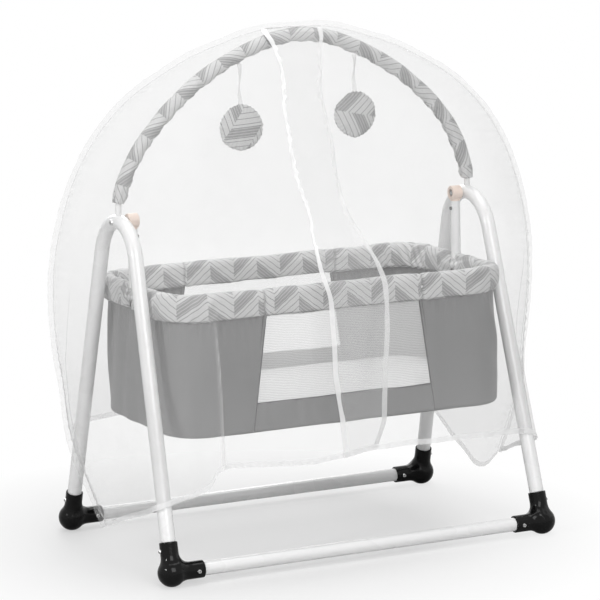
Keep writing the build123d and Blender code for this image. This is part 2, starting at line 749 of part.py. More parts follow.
def flap_plane(top_x, hem_x, shift):
    """Upright slanted cut across the front of the net, facing right, shifted to the right."""
    run = hem_x - top_x
    drop = arch_top - NET_HEM
    return Plane((top_x + shift, 0, arch_top), z_dir=(drop, 0, run))


# Net canopy: a rear panel and two overlapping front flaps, each flap edged with a ribbon
outer_layer = NET_CLOTH + NET_LAYER_GAP
inner_net = net_layer(0, NET_CLOTH)
with BuildPart() as net_rear_panel:
    add(inner_net)
    split(bisect_by=Plane.XZ, keep=Keep.BOTTOM)
save(net_rear_panel, "net_rear_panel")

with BuildPart() as net_left_flap:
    add(inner_net)
    split(bisect_by=Plane.XZ, keep=Keep.TOP)
    split(bisect_by=flap_plane(LEFT_FLAP_TOP, LEFT_FLAP_HEM, 0), keep=Keep.BOTTOM)
save(net_left_flap, "net_left_flap")

with BuildPart() as net_right_flap:
    add(net_layer(outer_layer, outer_layer + NET_CLOTH))
    split(bisect_by=Plane.XZ, keep=Keep.TOP)
    split(bisect_by=flap_plane(RIGHT_FLAP_TOP, RIGHT_FLAP_HEM, 0), keep=Keep.TOP)
save(net_right_flap, "net_right_flap")

with BuildPart() as net_left_ribbon:
    add(net_layer(-NET_RIBBON_CLOTH, 0))
    split(bisect_by=Plane.XZ, keep=Keep.TOP)
    split(bisect_by=flap_plane(LEFT_FLAP_TOP, LEFT_FLAP_HEM, 0), keep=Keep.BOTTOM)
    split(bisect_by=flap_plane(LEFT_FLAP_TOP, LEFT_FLAP_HEM, -NET_RIBBON), keep=Keep.TOP)
save(net_left_ribbon, "net_left_ribbon")

with BuildPart() as net_right_ribbon:
    add(net_layer(outer_layer + NET_CLOTH, outer_layer + NET_CLOTH + NET_RIBBON_CLOTH))
    split(bisect_by=Plane.XZ, keep=Keep.TOP)
    split(bisect_by=flap_plane(RIGHT_FLAP_TOP, RIGHT_FLAP_HEM, 0), keep=Keep.TOP)
    split(bisect_by=flap_plane(RIGHT_FLAP_TOP, RIGHT_FLAP_HEM, NET_RIBBON), keep=Keep.BOTTOM)
save(net_right_ribbon, "net_right_ribbon")
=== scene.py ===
"""Looks of a baby swing: finishes for its hard parts, and its cloth, padding, toys and net."""

import json
import math

import bmesh
import bpy
import numpy as np
from mathutils import Matrix, Vector


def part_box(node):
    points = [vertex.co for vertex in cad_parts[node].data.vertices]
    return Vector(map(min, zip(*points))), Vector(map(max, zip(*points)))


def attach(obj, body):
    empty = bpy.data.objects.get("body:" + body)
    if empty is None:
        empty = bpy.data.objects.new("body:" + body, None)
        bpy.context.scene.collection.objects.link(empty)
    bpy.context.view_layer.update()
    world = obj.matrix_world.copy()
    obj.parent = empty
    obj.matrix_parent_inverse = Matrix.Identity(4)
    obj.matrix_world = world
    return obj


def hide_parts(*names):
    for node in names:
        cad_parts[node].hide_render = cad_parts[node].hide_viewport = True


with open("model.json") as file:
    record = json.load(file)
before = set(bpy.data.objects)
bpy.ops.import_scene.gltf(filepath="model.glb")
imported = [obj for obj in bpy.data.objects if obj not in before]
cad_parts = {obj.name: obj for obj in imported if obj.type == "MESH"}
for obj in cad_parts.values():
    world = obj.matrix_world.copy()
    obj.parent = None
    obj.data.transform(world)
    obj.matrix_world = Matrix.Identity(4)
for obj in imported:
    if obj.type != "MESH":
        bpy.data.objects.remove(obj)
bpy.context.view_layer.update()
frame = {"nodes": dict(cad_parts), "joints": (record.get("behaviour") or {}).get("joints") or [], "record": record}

bl_info = {
    "name": "Baby Swing Looks",
    "version": (1, 0, 0),
    "blender": (4, 5, 0),
    "location": "View3D > Sidebar > Baby Swing",
    "description": "Dresses a packed baby swing in paint, plastic, printed cloth, padding and net",
    "category": "Object",
}

CLOTH = "cloth"
THREAD_COVER = "gather"
# Mark of dark seam lines on the cloth, which are partly painted shade in and under the seams
SEAM_AND_SHADE = "seam"
PRINT = "chevron_print_cloth"
SIDES = {"left": -1, "right": 1}
ENDS = {"front": -1, "rear": 1}
FULL_TURN = 2 * math.pi
NOISE_CELLS = 128

# Sizes of the tubes and feet that the places below are worked out from
TEE_RADIUS = 0.013
APEX_OUTSET = 0.031
BAR_RADIUS = 0.015
BALL_RADIUS = 0.030

# Places read from the frame, in metres
rail_low, rail_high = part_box("front_rim_rail")
rail_radius = (rail_high.z - rail_low.z) / 2
rail_x = rail_high.x - rail_radius
rail_y = -rail_low.y - rail_radius
rail_z = (rail_high.z + rail_low.z) / 2
window_low, window_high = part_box("front_mesh_window")
wall_y = -window_low.y
wall_top = window_high.z
wall_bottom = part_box("front_lower_band")[0].z
band_tops = {end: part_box(f"{name}_lower_band")[1].z for name, end in ENDS.items()}
mattress_low, mattress_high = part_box("mattress")
sleeve_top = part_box("arch_sleeve")[1].z
apex_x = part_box("right_hanger")[1].x - TEE_RADIUS + APEX_OUTSET
pivot_z = frame["joints"][0]["pos_m"][2]
bar_low, bar_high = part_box("rear_floor_bar")
foot_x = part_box("rear_right_foot")[1].x - BALL_RADIUS
foot_y = bar_high.y - BAR_RADIUS
foot_z = (bar_low.z + bar_high.z) / 2

# The cot's plan and its window seams
WALL_X = 0.395
CORNER = 0.082
SEAM_TOP = 0.184
SEAM_BOTTOM = 0.219
WALL_TUCK = 0.012
BOTTOM_ROLL = 0.009

# The arch: headings in degrees where one bend meets the next, and the radius of each bend
ARCH_HEADINGS = (90.0, 75.0, 51.0, 17.0, -20.0, -44.0, -80.0, -90.0)
ARCH_TOE = 0.060
ARCH_SHOULDER = 0.340
ARCH_CROWN = 0.280
ARCH_SPRING_RISE = 0.030
SLEEVE_HEADING = 80.0
SLEEVE_END_HEADING = 87.0

# Net levels under the ridge: drop, seam overhang past the apex, corner set-back, half depth
NET_RIDGE_LEVELS = (
    (0.000, -0.333, 0.040, 0.003),
    (0.027, -0.253, 0.060, 0.030),
    (0.044, -0.192, 0.080, 0.038),
    (0.070, -0.138, 0.100, 0.050),
    (0.130, -0.031, 0.130, 0.072),
    (0.210, 0.050, 0.140, 0.102),
    (0.302, 0.105, 0.150, 0.138),
    (0.366, 0.127, 0.158, 0.168),
)
# Net levels round the legs: height, seam overhang past the apex, corner set-back, depth past the feet
NET_LEG_LEVELS = (
    (0.700, 0.147, 0.162, -0.075),
    (0.645, 0.155, 0.160, -0.032),
    (0.590, 0.159, 0.157, -0.010),
    (0.475, 0.154, 0.137, 0.011),
    (0.400, 0.140, 0.113, 0.016),
    (0.274, 0.130, 0.086, 0.019),
    (0.070, 0.050, 0.016, 0.021),
)
# Sections in the net's table, their crowding to the ridge, points in half of each, and a panel's crowding
NET_ROWS = 320
NET_ROW_CROWD = 1.8
NET_SHARES = 161
NET_PANEL_CROWD = 1.35
# Net: where its corners fold and by how much, gap over the sleeve, spread of the seam's curve, gap between
# layers, pitch of the gathers, spare cloth, zone without inward folds, and lift of a ribbon off the net
NET_FOLD_SHARE = 0.64
NET_FOLD_RISE = 0.016
NET_RIDGE_GAP = 0.0008
NET_OUTLINE_SPREAD = 0.09
NET_LAYER = 0.0024
NET_SEAM_PLEAT = 0.023
NET_CUT_SPARE = 0.25
NET_RIDGE_ZONE = 0.03
NET_RIBBON_LIFT = 0.0010
# Depths in the net: seam gathers, hanging and fine folds, crease, uneven hem, and its tapes and ribbons
NET_GATHERS = 0.0030
NET_HANG = 0.0052
NET_FINE = 0.0018
NET_CREASE = 0.006
NET_HEM_WOBBLE = 0.0025
TAPE_LIFT = 0.0012
TAPE_PUCKERS = 0.0007
RIBBON_CRINKLE = 0.0020
RIBBON_PUCKERS = 0.0012
BAND_RUFFLE = 0.0008
# Upright crease in the left flap: distance from the middle, its slope with height, and where it fades
CREASE_PLACE = 0.331
CREASE_SLOPE = 0.012
CREASE_LEVEL = 0.3
CREASE_FADE = (0.45, 0.62)

# Edges of the two front flaps: height and distance from the middle
RIGHT_FLAP_EDGE = (
    (1.130, -0.084), (1.098, -0.070), (1.047, -0.062), (0.985, -0.071), (0.840, -0.077), (0.755, -0.064),
    (0.640, -0.084), (0.579, -0.068), (0.411, -0.071), (0.327, -0.058), (0.235, -0.051),
)
LEFT_FLAP_EDGE = (
    (1.130, 0.067), (1.092, 0.049), (0.999, 0.028), (0.885, 0.035), (0.828, 0.029), (0.744, 0.032),
    (0.699, 0.051), (0.606, 0.080), (0.513, 0.077), (0.420, 0.064), (0.300, 0.058), (0.245, 0.032),
)
FLAP_SOFTNESS = 0.030
# Print on each cuff: a peak's distance from the middle, and the dark blocks' height over the lower seam
PRINT_PEAKS = {"front": (-0.1107, 0.019), "rear": (-0.0112, 0.024)}
PRINT_SHIFT = 0.0207
# Hem of each face: share of the way from the middle to an end seam, and height
FRONT_HEM = (
    (-1.00, 0.074), (-0.80, 0.120), (-0.66, 0.160), (-0.54, 0.188), (-0.502, 0.199), (-0.486, 0.213),
    (-0.474, 0.231), (-0.445, 0.242), (-0.32, 0.237), (-0.16, 0.229), (0.05, 0.246), (0.37, 0.243),
    (0.57, 0.236), (0.65, 0.222), (0.75, 0.180), (0.98, 0.130), (1.00, 0.126),
)
REAR_HEM = (
    (-1.00, 0.074), (-0.88, 0.086), (-0.84, 0.140), (-0.80, 0.208), (-0.70, 0.238), (-0.40, 0.252),
    (0.20, 0.250), (0.50, 0.226), (0.72, 0.165), (0.83, 0.124), (0.87, 0.108), (0.90, 0.093), (0.93, 0.087),
    (0.965, 0.089), (0.985, 0.104), (1.00, 0.126),
)
HEM_SOFTNESS = 0.018
# The legs' lean to the middle for each metre of height, and the net's clear way out over them
LEG_LEAN = 0.0311
LEG_SLOPE = 0.3027
LEG_CLEAR = 0.0200
LEG_OUTWARD = (0.7071, 0.7071)
LEG_FLANK = 1.43
LEG_EASE = 0.004
LEG_FADE = (0.55, 0.65)
# Room in the net for the swinging cot: depth in front and behind, height, spread, and where it ends
SWING_ROOM = {-1: 0.009, 1: 0.019}
SWING_ROOM_HEIGHT = 0.655
SWING_ROOM_SPREAD = 0.075
SWING_ROOM_END = (0.70, 0.98)
# How far the front's right corner hangs in from its place: height and distance
CORNER_PULL = ((0.20, 0.014), (0.33, 0.036), (0.45, 0.052), (0.53, 0.028), (0.62, 0.0), (1.14, 0.0))

# The photograph's view
VIEW_AZIMUTH = -25.52
VIEW_ELEVATION = 9.60
VIEW_ROLL = 1.26
VIEW_DISTANCE = 6.7715
VIEW_RIGHT = 0.0006
VIEW_RISE = 0.5219
VIEW_LENS = 180.0
VIEW_SENSOR = 36.0

# Soft lamps: name, place, width and power in watts; all look at one point
LAMPS = (
    ("left_softbox", (-3.1, -0.75, 1.75), 0.32, 36),
    ("front_softbox", (-0.5, -3.4, 2.4), 2.2, 84),
    ("right_softbox", (3.0, -1.2, 2.0), 2.2, 12),
    ("top_softbox", (0.1, 0.4, 3.6), 2.8, 80),
    ("rear_softbox", (0.8, 3.5, 2.2), 2.4, 46),
)
LAMP_TARGET = (0, 0, 0.55)
SKY_STRENGTH = 0.10

# The floor: half its side, its tone, and where it fades to white round the swing
FLOOR_REACH = 6.0
FLOOR_TONE = (0.64, 0.64, 0.64)
FLOOR_SHIFT = (0.15, -0.05, 0.0)
FADE_START = 0.42
FADE_WIDTH = 0.46

# The print, counted in stripes: slope, one cycle of blocks, its dark block, and half widths of the lines
PRINT_SLOPE = 0.80
PRINT_CYCLE = 6.0
PRINT_DARK = 2.0
LIGHT_LINE = 0.065
DARK_LINE = 0.10

# Hard parts: gap closed between facets, angle of a crisp edge, depth of a finish's relief
WELD_GAP = 1e-6
CRISP_ANGLE = 32
RELIEF = 0.0004
# A screw's cross recess: length, width and depth of one bar
CROSS_SIZE = (0.0044, 0.0010, 0.0008)

# Feet: the mouths' distance from the ball, the skin that moves, and what stays at the mouths and the floor
COLLAR_REACH = 0.065
SOCKET_REACH = 0.072
SKIN_DEPTH = (0.0010, 0.0016)
MOUTH_KEPT = (0.003, 0.012)
FLOOR_KEPT = (0.0006, 0.004)
SLOPE_STEP = 1e-5

# Rim cuffs: roundness of the section over and under the rail, its taper underneath, how far its ends are
# drawn in and over what reach, the joins' distance past the window seams, and the radius of a tucked end
CUFF_SIDE_ROUND = (0.66, 0.36)
CUFF_TOP_ROUND = (0.85, 0.55)
CUFF_TAPER = 0.10
CUFF_DRAW = 0.16
CUFF_DRAW_REACH = 0.05
CUFF_JOIN_PAST = 0.006
CUFF_MOUTH = 0.0140
# Depths on a cuff: broad and fine lumps, gathers underneath, creases at the bends, ruched ends, the right
# corners' puff, and the pinch and the sunk seam at a join
CUFF_LUMPS = 0.0016
CUFF_FINE_LUMPS = 0.0007
CUFF_GATHERS = 0.0004
CUFF_CREASES = 0.0021
CUFF_RUCHE = 0.0026
CUFF_PUFF = 0.0070
CUFF_PINCH = 0.0034
CUFF_SUNK_SEAM = 0.0022

# Cot cloth: thickness of the ends and bands, height of an end's cut, a window's lap behind its band and
# its spare height, and the cover of each window's mesh
END_THICKNESS = 0.0016
BAND_THICKNESS = 0.0014
END_CUT = 0.27
BAND_LAP = 0.004
WINDOW_SPARE = 0.01
# The two windows are one mesh: the rear one is made more see-through so that it looks lighter in the shaded cot,
# and the front one denser so that it looks lighter over the dark inside: painted light
MESH_COVER = {-1: 0.52, 1: 0.14}
# Upright folds of the two cloth ends: place along the cloth, width and depth
LEFT_END_FOLDS = (
    (0.140, 0.022, -0.0050), (0.196, 0.026, 0.0040), (0.090, 0.022, 0.0020), (0.055, 0.018, -0.0020),
)
RIGHT_END_FOLDS = ((0.150, 0.018, 0.0050), (0.118, 0.020, -0.0040))
# Corded seams: distance past the window's edge and radius, distance out from the wall, and how far they are
# darkened, as dark seam lines that are partly painted shade
WELTS = ((0.001, 0.0015), (0.0075, 0.0009))
WELT_OUT = 0.0012
WELT_SHADE = 0.75
# Depths in the cot's cloth: an end's belly, sag, waves, rim puckers and full corners, the slack of a wall, a
# band's uneven edge, creases, bow, turned bottom and step out, and the floor's drop, sag and lumps
END_BELLY = 0.0030
END_SAG = 0.0050
END_WAVES = 0.0046
END_PUCKERS = 0.0017
END_CORNERS = 0.0075
WALL_SLACK = 0.0022
BAND_UNEVEN = 0.0022
BAND_CREASES = 0.0017
BAND_BOW = 0.001
BAND_TURN = 0.0028
BAND_OUT = 0.0008
FLOOR_DROP = 0.0012
FLOOR_SAG = 0.004
FLOOR_LUMPS = 0.0008

# Mattress: least half width and corner of an inner ring, and depths of its puckers and waves
LEAST_HALF = 0.004
LEAST_CORNER = 0.003
MATTRESS_PUCKERS = 0.0009
MATTRESS_WAVES = 0.0012

# Sleeve: depths of its scallops, fine puckers, lumps, sunk seam, and tight and ruched ends
SLEEVE_SCALLOPS = 0.0014
SLEEVE_FINE = 0.0005
SLEEVE_LUMPS = 0.0011
SLEEVE_SUNK_SEAM = 0.0016
SLEEVE_TIGHT = 0.0028
SLEEVE_RUCHE = 0.0014

# Toys: turn and shift of the print on each disc, and the ribbons' half width, thickness, tucked end and sway
TOY_PRINTS = {"left": (-0.628, (0.020, -0.046)), "right": (-1.78, (0.002, 0.012))}
TOY_RIBBON_HALF = 0.0051
TOY_RIBBON_THICKNESS = 0.0006
TOY_RIBBON_TUCK = 0.004
TOY_RIBBON_SWAY = 0.0016
# A disc: stitches round its edge, and depths of stitches, uneven edge, pulls, dimples and least padding
DISC_STITCHES = 31
DISC_STITCH = 0.0008
DISC_UNEVEN = 0.0018
DISC_PULL = 0.0010
DISC_DIMPLES = 0.0008
DISC_LEAST = 0.0004
# Flat and full places of a disc's edge: turn, width and depth
DISC_DENTS = ((math.pi * 0.75, 0.35, -0.0030), (math.pi * 0.5, 0.12, 0.0015))


def srgb(level):
    """Linear colour of a grey level from 0 to 255."""
    share = level / 255
    return share / 12.92 if share <= 0.04045 else ((share + 0.055) / 1.055) ** 2.4


def grey(level):
    """Linear grey colour of a level from 0 to 255."""
    return (srgb(level),) * 3


HUB_TONE = (srgb(238), srgb(218), srgb(205))


def shade(tone, share=1.0):
    """A colour made darker or lighter."""
    return tuple(share * channel for channel in tone)


def colour_choice(name, description, default):
    """A colour that a user may change."""
    return bpy.props.FloatVectorProperty(
        name=name, description=description, subtype="COLOR", default=default, min=0, max=1
    )


def size_choice(name, description, default):
    """A size in metres that a user may change."""
    return bpy.props.FloatProperty(name=name, description=description, default=default, unit="LENGTH")


class SwingFinishes(bpy.types.PropertyGroup):
    """Colours of the swing's finishes."""

    paint: colour_choice("Tube paint", "Powder coat on the tubes", grey(240))
    plastic: colour_choice("Foot plastic", "Moulded plastic of the feet", grey(9))
    hub: colour_choice("Hub plastic", "Moulded plastic of the pivot hubs", HUB_TONE)
    cloth: colour_choice("Plain cloth", "Woven cloth of the cot's ends", grey(127))
    print_light: colour_choice("Print, light", "Light blocks of the chevron print", grey(208))
    print_dark: colour_choice("Print, dark", "Dark blocks of the chevron print", grey(152))
    net: colour_choice("Net", "Thread of the net", grey(215))
    tape: colour_choice("Tape", "Woven tapes and ribbons", grey(236))
    net_cover: bpy.props.FloatProperty(
        name="Net cover", description="Share of the view that the net's threads take",
        default=0.13, min=0, max=1, subtype="FACTOR",
    )


class SwingCloth(bpy.types.PropertyGroup):
    """Sizes of the swing's cloth and padding."""

    column: size_choice("Chevron column", "Width of one column of the print", 0.058)
    stripe: size_choice("Stripe pitch", "Distance from one stripe of the print to the next", 0.0153)
    hem_tape: size_choice("Hem tape", "Width of the tape along the net's hem", 0.0108)
    ribbon: size_choice("Ribbon", "Width of the ribbons on the net's flaps", 0.0105)
    seam_band: size_choice("Seam band", "Width of the gathered band along the net's end seam", 0.012)
    net_hem: size_choice("Net hem", "Height of the net's hem at the front", 0.238)
    net_dip: size_choice("Net dip", "Height of the net's hem at its end seams", 0.084)


class Wire:
    """An output of a node, on which shader maths is written as plain expressions."""

    def __init__(self, tree, socket):
        self.tree = tree
        self.socket = socket

    def math(self, operation, *values):
        """Result of one maths node."""
        node = self.tree.nodes.new("ShaderNodeMath")
        node.operation = operation
        for socket, value in zip(node.inputs, values):
            plug(self.tree, socket, value)
        return Wire(self.tree, node.outputs[0])

    def __add__(self, other):
        return self.math("ADD", self, other)

    def __sub__(self, other):
        return self.math("SUBTRACT", self, other)

    def __rsub__(self, other):
        return self.math("SUBTRACT", other, self)

    def __mul__(self, other):
        return self.math("MULTIPLY", self, other)

    def __truediv__(self, other):
        return self.math("DIVIDE", self, other)

    def __rtruediv__(self, other):
        return self.math("DIVIDE", other, self)

    def __mod__(self, other):
        return self.math("FLOORED_MODULO", self, other)

    def __rmod__(self, other):
        return self.math("FLOORED_MODULO", other, self)

    def __lt__(self, other):
        return self.math("LESS_THAN", self, other)

    def __gt__(self, other):
        return self.math("GREATER_THAN", self, other)

    def __abs__(self):
        return self.math("ABSOLUTE", self)

    __radd__ = __add__
    __rmul__ = __mul__

    def floor(self):
        """Whole number at or below the value."""
        return self.math("FLOOR", self)

    def sine(self):
        """Sine of the value in radians."""
        return self.math("SINE", self)

    def clamp(self):
        """The value kept between 0 and 1."""
        return self.math("MINIMUM", self.math("MAXIMUM", self, 0.0), 1.0)


def plug(tree, socket, value):
    """Link a wire to a socket, or set the socket to a plain value."""
    if isinstance(value, Wire):
        tree.links.new(value.socket, socket)
    elif isinstance(value, (tuple, list)) and len(value) == 3 and len(socket.default_value) == 4:
        socket.default_value = (*value, 1.0)
    else:
        socket.default_value = value


class Nodes:
    """A node tree whose nodes all come from one method."""

    def __init__(self, tree):
        self.tree = tree

    def node(self, kind, settings, values, output=0):
        """Add a node with its settings and its sockets' values, and give one of its outputs."""
        node = self.tree.nodes.new(kind)
        for name, value in settings.items():
            setattr(node, name, value)
        for name, value in values.items():
            plug(self.tree, node.inputs[name], value)
        return Wire(self.tree, node.outputs[output])


class Finish(Nodes):
    """A material with one main shader."""

    def __init__(self, name, **constants):
        self.material = bpy.data.materials.new(name)
        self.material.use_nodes = True
        super().__init__(self.material.node_tree)
        self.shader = self.tree.nodes["Principled BSDF"]
        self.set(**constants)

    def set(self, **values):
        """Set or link sockets of the main shader, named with underscores."""
        for name, value in values.items():
            title = name.replace("_", " ").title().replace("Ior", "IOR")
            plug(self.tree, self.shader.inputs[title], value)

    def mix(self, factor, first, second):
        """Mix of two colours."""
        settings = {"data_type": "RGBA"}
        return self.node("ShaderNodeMix", settings, {0: factor, 6: first, 7: second}, 2)

    def spot(self):
        """Place on the object, in metres."""
        return self.node("ShaderNodeTexCoord", {}, {}, "Object")

    def flat(self):
        """Place on the flat cloth, in metres, as two wires."""
        place = self.node("ShaderNodeAttribute", {"attribute_name": CLOTH}, {}, "Vector")
        parts = [self.node("ShaderNodeSeparateXYZ", {}, {"Vector": place}, axis) for axis in ("X", "Y")]
        return place, *parts

    def marked(self, name):
        """A value kept at the points of the mesh."""
        return self.node("ShaderNodeAttribute", {"attribute_name": name}, {}, "Fac")

    def noise(self, place, scale, detail=2.0):
        """Smooth noise from 0 to 1."""
        values = {"Vector": place, "Scale": scale, "Detail": detail}
        return self.node("ShaderNodeTexNoise", {}, values)

    def clouded(self, cloud, first, second, spread, gloss):
        """Colour and roughness that vary together with a noise."""
        self.set(base_color=self.mix(cloud, first, second), roughness=cloud * spread + gloss)

    def bump(self, height, strength, distance=RELIEF):
        """Surface relief from a height between 0 and 1."""
        values = {"Height": height, "Strength": strength, "Distance": distance}
        self.set(normal=self.node("ShaderNodeBump", {}, values, "Normal"))

    def ripple(self, place, pitch):
        """Wave from -1 to 1 that repeats at a pitch."""
        return (place * (FULL_TURN / pitch)).sine()

    def knit(self, along, across, pitch):
        """Crossed waves from -1 to 1."""
        return self.ripple(along, pitch) * self.ripple(across, pitch)

    def weave(self, along, across, pitch):
        """Height of a plain weave."""
        return self.knit(along, across, pitch) * 0.5 + 0.5


def tube_paint(look):
    """White powder coat: faint orange peel, a little uneven in gloss."""
    finish = Finish("white_powder_coat", coat_weight=0.5, coat_roughness=0.08)
    spot = finish.spot()
    cloud = finish.noise(spot, scale=9.0)
    finish.clouded(cloud, shade(look.paint, 0.97), shade(look.paint), spread=0.10, gloss=0.22)
    finish.bump(finish.noise(spot, scale=900.0), strength=0.06)
    return finish.material


def foot_plastic(look):
    """Glossy black moulding with a faint grain and soft scuffs."""
    finish = Finish("gloss_black_plastic", specular_ior_level=0.16)
    spot = finish.spot()
    scuff = finish.noise(spot, scale=60.0, detail=5.0)
    finish.clouded(scuff, shade(look.plastic), shade(look.plastic, 1.9), spread=0.10, gloss=0.09)
    finish.bump(finish.noise(spot, scale=420.0), strength=0.04)
    return finish.material


def soft_plastic(name, tone, gloss):
    """Satin moulded plastic."""
    finish = Finish(name)
    spot = finish.spot()
    cloud = finish.noise(spot, scale=45.0, detail=3.0)
    finish.clouded(cloud, shade(tone, 0.94), shade(tone), spread=0.15, gloss=gloss)
    finish.bump(finish.noise(spot, scale=700.0), strength=0.08)
    return finish.material


def steel(name, tone, gloss):
    """Plated steel with fine turning marks."""
    finish = Finish(name, metallic=1.0)
    marks = finish.noise(finish.spot(), scale=1500.0, detail=3.0)
    finish.clouded(marks, shade(tone, 0.8), shade(tone), spread=0.2, gloss=gloss)
    return finish.material


def plain_cloth(look):
    """Plain grey weave with soft streaks."""
    finish = Finish("plain_grey_cloth", sheen_weight=0.25, sheen_roughness=0.5)
    place, along, across = finish.flat()
    streak = finish.noise(place, scale=14.0, detail=3.0)
    yarn = finish.noise(place, scale=900.0)
    tone = finish.mix(streak, shade(look.cloth, 0.93), shade(look.cloth, 1.06))
    spun = finish.mix(yarn * 0.12, tone, shade(look.cloth, 0.8))
    # Marked points, the welts, darken toward dark grey: dark seam lines, partly painted shade beside the welts
    finish.set(base_color=finish.mix(finish.marked(SEAM_AND_SHADE), spun, grey(70)), roughness=yarn * 0.15 + 0.78)
    finish.bump(finish.weave(along, across, pitch=0.0014), strength=0.12)
    return finish.material


def print_cloth(look, cloth):
    """Chevron print: slanted stripes in columns, in light and dark blocks with thin lines between."""
    finish = Finish(PRINT, sheen_weight=0.2, sheen_roughness=0.5)
    place, along, across = finish.flat()
    column = (along / cloth.column).floor()
    side = 1.0 - (column % 2.0) * 2.0
    slant = (across - side * (along - column * cloth.column) * PRINT_SLOPE) / cloth.stripe
    light = finish.mix(abs(slant % 1.0 - 0.5) < LIGHT_LINE, shade(look.print_light), grey(148))
    dark = finish.mix(abs(slant * 2.0 % 1.0 - 0.5) < DARK_LINE, shade(look.print_dark), grey(194))
    ink = finish.mix(slant % PRINT_CYCLE < PRINT_DARK, light, dark)
    yarn = finish.noise(place, scale=800.0)
    worn = finish.mix(yarn * 0.10, ink, grey(120))
    # Marked points darken toward dark grey: the joins and a line low on each cuff, partly dark seams, partly
    # painted shadow under the cuff and in the sunk seams
    seam = finish.marked(SEAM_AND_SHADE) * 0.8
    finish.set(base_color=finish.mix(seam, worn, grey(60)), roughness=yarn * 0.15 + 0.75)
    finish.bump(finish.weave(along, across, pitch=0.0016), strength=0.2)
    return finish.material


def mesh_cloth():
    """White knitted window mesh: threads with small open holes."""
    finish = Finish("white_window_mesh", base_color=grey(247), roughness=0.8)
    place, along, across = finish.flat()
    holes = finish.knit(along, across, pitch=0.0024) * 0.10
    drift = finish.noise(place, scale=13.0) * 0.016
    rows = finish.ripple(across + along * 0.16 + drift, pitch=0.0054) * 0.09
    finish.set(alpha=(finish.marked(THREAD_COVER) * (1.0 + rows) - holes).clamp())
    return finish.material


def mattress_cloth():
    """White cotton cover with a fine weave."""
    finish = Finish("white_mattress_cloth", sheen_weight=0.2)
    place, along, across = finish.flat()
    cloud = finish.noise(place, scale=16.0, detail=3.0)
    finish.clouded(cloud, grey(240), grey(247), spread=0.1, gloss=0.8)
    finish.bump(finish.weave(along, across, pitch=0.0018), strength=0.2)
    return finish.material


def hard_board():
    """Brown pressed board."""
    finish = Finish("pressed_board")
    fibre = finish.noise(finish.spot(), scale=300.0, detail=4.0)
    finish.clouded(fibre, (0.22, 0.14, 0.08), (0.38, 0.26, 0.16), spread=0.2, gloss=0.6)
    return finish.material


def net_cloth(look):
    """Sheer white net: fine threads, closer together where it is gathered."""
    finish = Finish("sheer_white_net", base_color=shade(look.net), roughness=0.75)
    place, along, across = finish.flat()
    threads = finish.knit(along, across, pitch=0.0022) * 0.06
    cover = finish.marked(THREAD_COVER) * 0.55 + look.net_cover + finish.noise(place, scale=22.0) * 0.03
    finish.set(alpha=(cover + threads).clamp())
    return finish.material


def tape_cloth(look, name, cover):
    """White woven tape with fine cross ribs and a faint painted glow, which stands in for light coming through it.
    """
    finish = Finish(name, base_color=shade(look.tape), emission_color=(1, 1, 1), emission_strength=0.08)
    place, along, _ = finish.flat()
    ribs = finish.ripple(along, pitch=0.0016) * 0.5 + 0.5
    finish.set(roughness=ribs * 0.15 + 0.45)
    finish.set(alpha=(finish.noise(place, scale=90.0) * 0.12 + cover).clamp())
    finish.bump(ribs, strength=0.25, distance=0.0003)
    return finish.material


def smooth_noise(x, y, seed):
    """Smooth noise from -1 to 1 over a plane, alike in every run."""
    table = np.random.default_rng(seed).uniform(-1, 1, (NOISE_CELLS, NOISE_CELLS))
    x, y = np.broadcast_arrays(np.asarray(x, float), np.asarray(y, float))
    column, row = np.floor(x).astype(int), np.floor(y).astype(int)
    u, v = x - column, y - row
    u, v = u * u * (3 - 2 * u), v * v * (3 - 2 * v)

    def at(i, j):
        """Table values at one corner of each cell."""
        return table[(column + i) % NOISE_CELLS, (row + j) % NOISE_CELLS]

    return (at(0, 0) * (1 - u) + at(1, 0) * u) * (1 - v) + (at(0, 1) * (1 - u) + at(1, 1) * u) * v


def ease(value, low, high):
    """Smooth step from 0 at low to 1 at high."""
    share = np.clip((value - low) / (high - low), 0, 1)
    return share * share * (3 - 2 * share)


def smoothed(values, reach, **ends):
    """Values along a line, each eased with its neighbours on both sides."""
    kernel = np.hanning(2 * reach + 1)
    return np.convolve(np.pad(values, reach, **ends), kernel / kernel.sum(), mode="valid")


def soft_curve(points, at, spread):
    """A line through points, eased over a spread, read at one or many places."""
    knots = np.array(sorted(points))
    fine = np.linspace(knots[0, 0] - spread, knots[-1, 0] + spread, 400)
    count = max(int(spread / (fine[1] - fine[0])), 1)
    values = np.interp(fine, knots[:, 0], knots[:, 1])
    return np.interp(at, fine, smoothed(values, count + 1, mode="edge"))


def wave(run, pitch, shift=0.0):
    """Sine wave along a distance."""
    return np.sin(run * (FULL_TURN / pitch) + shift)


def run_along(line):
    """Distance along a line of points."""
    return np.concatenate([[0], np.cumsum(np.linalg.norm(np.diff(line, axis=0), axis=1))])


def read_along(line, run, places):
    """Points of a line at places along its run."""
    return np.stack([np.interp(places, run, values) for values in line.T], axis=1)


def unit(vectors):
    """Vectors of length 1."""
    return vectors / np.linalg.norm(vectors, axis=-1, keepdims=True)


def hump(value, centre, width):
    """Smooth bump of height 1."""
    return np.exp(-(((value - centre) / width) ** 2))


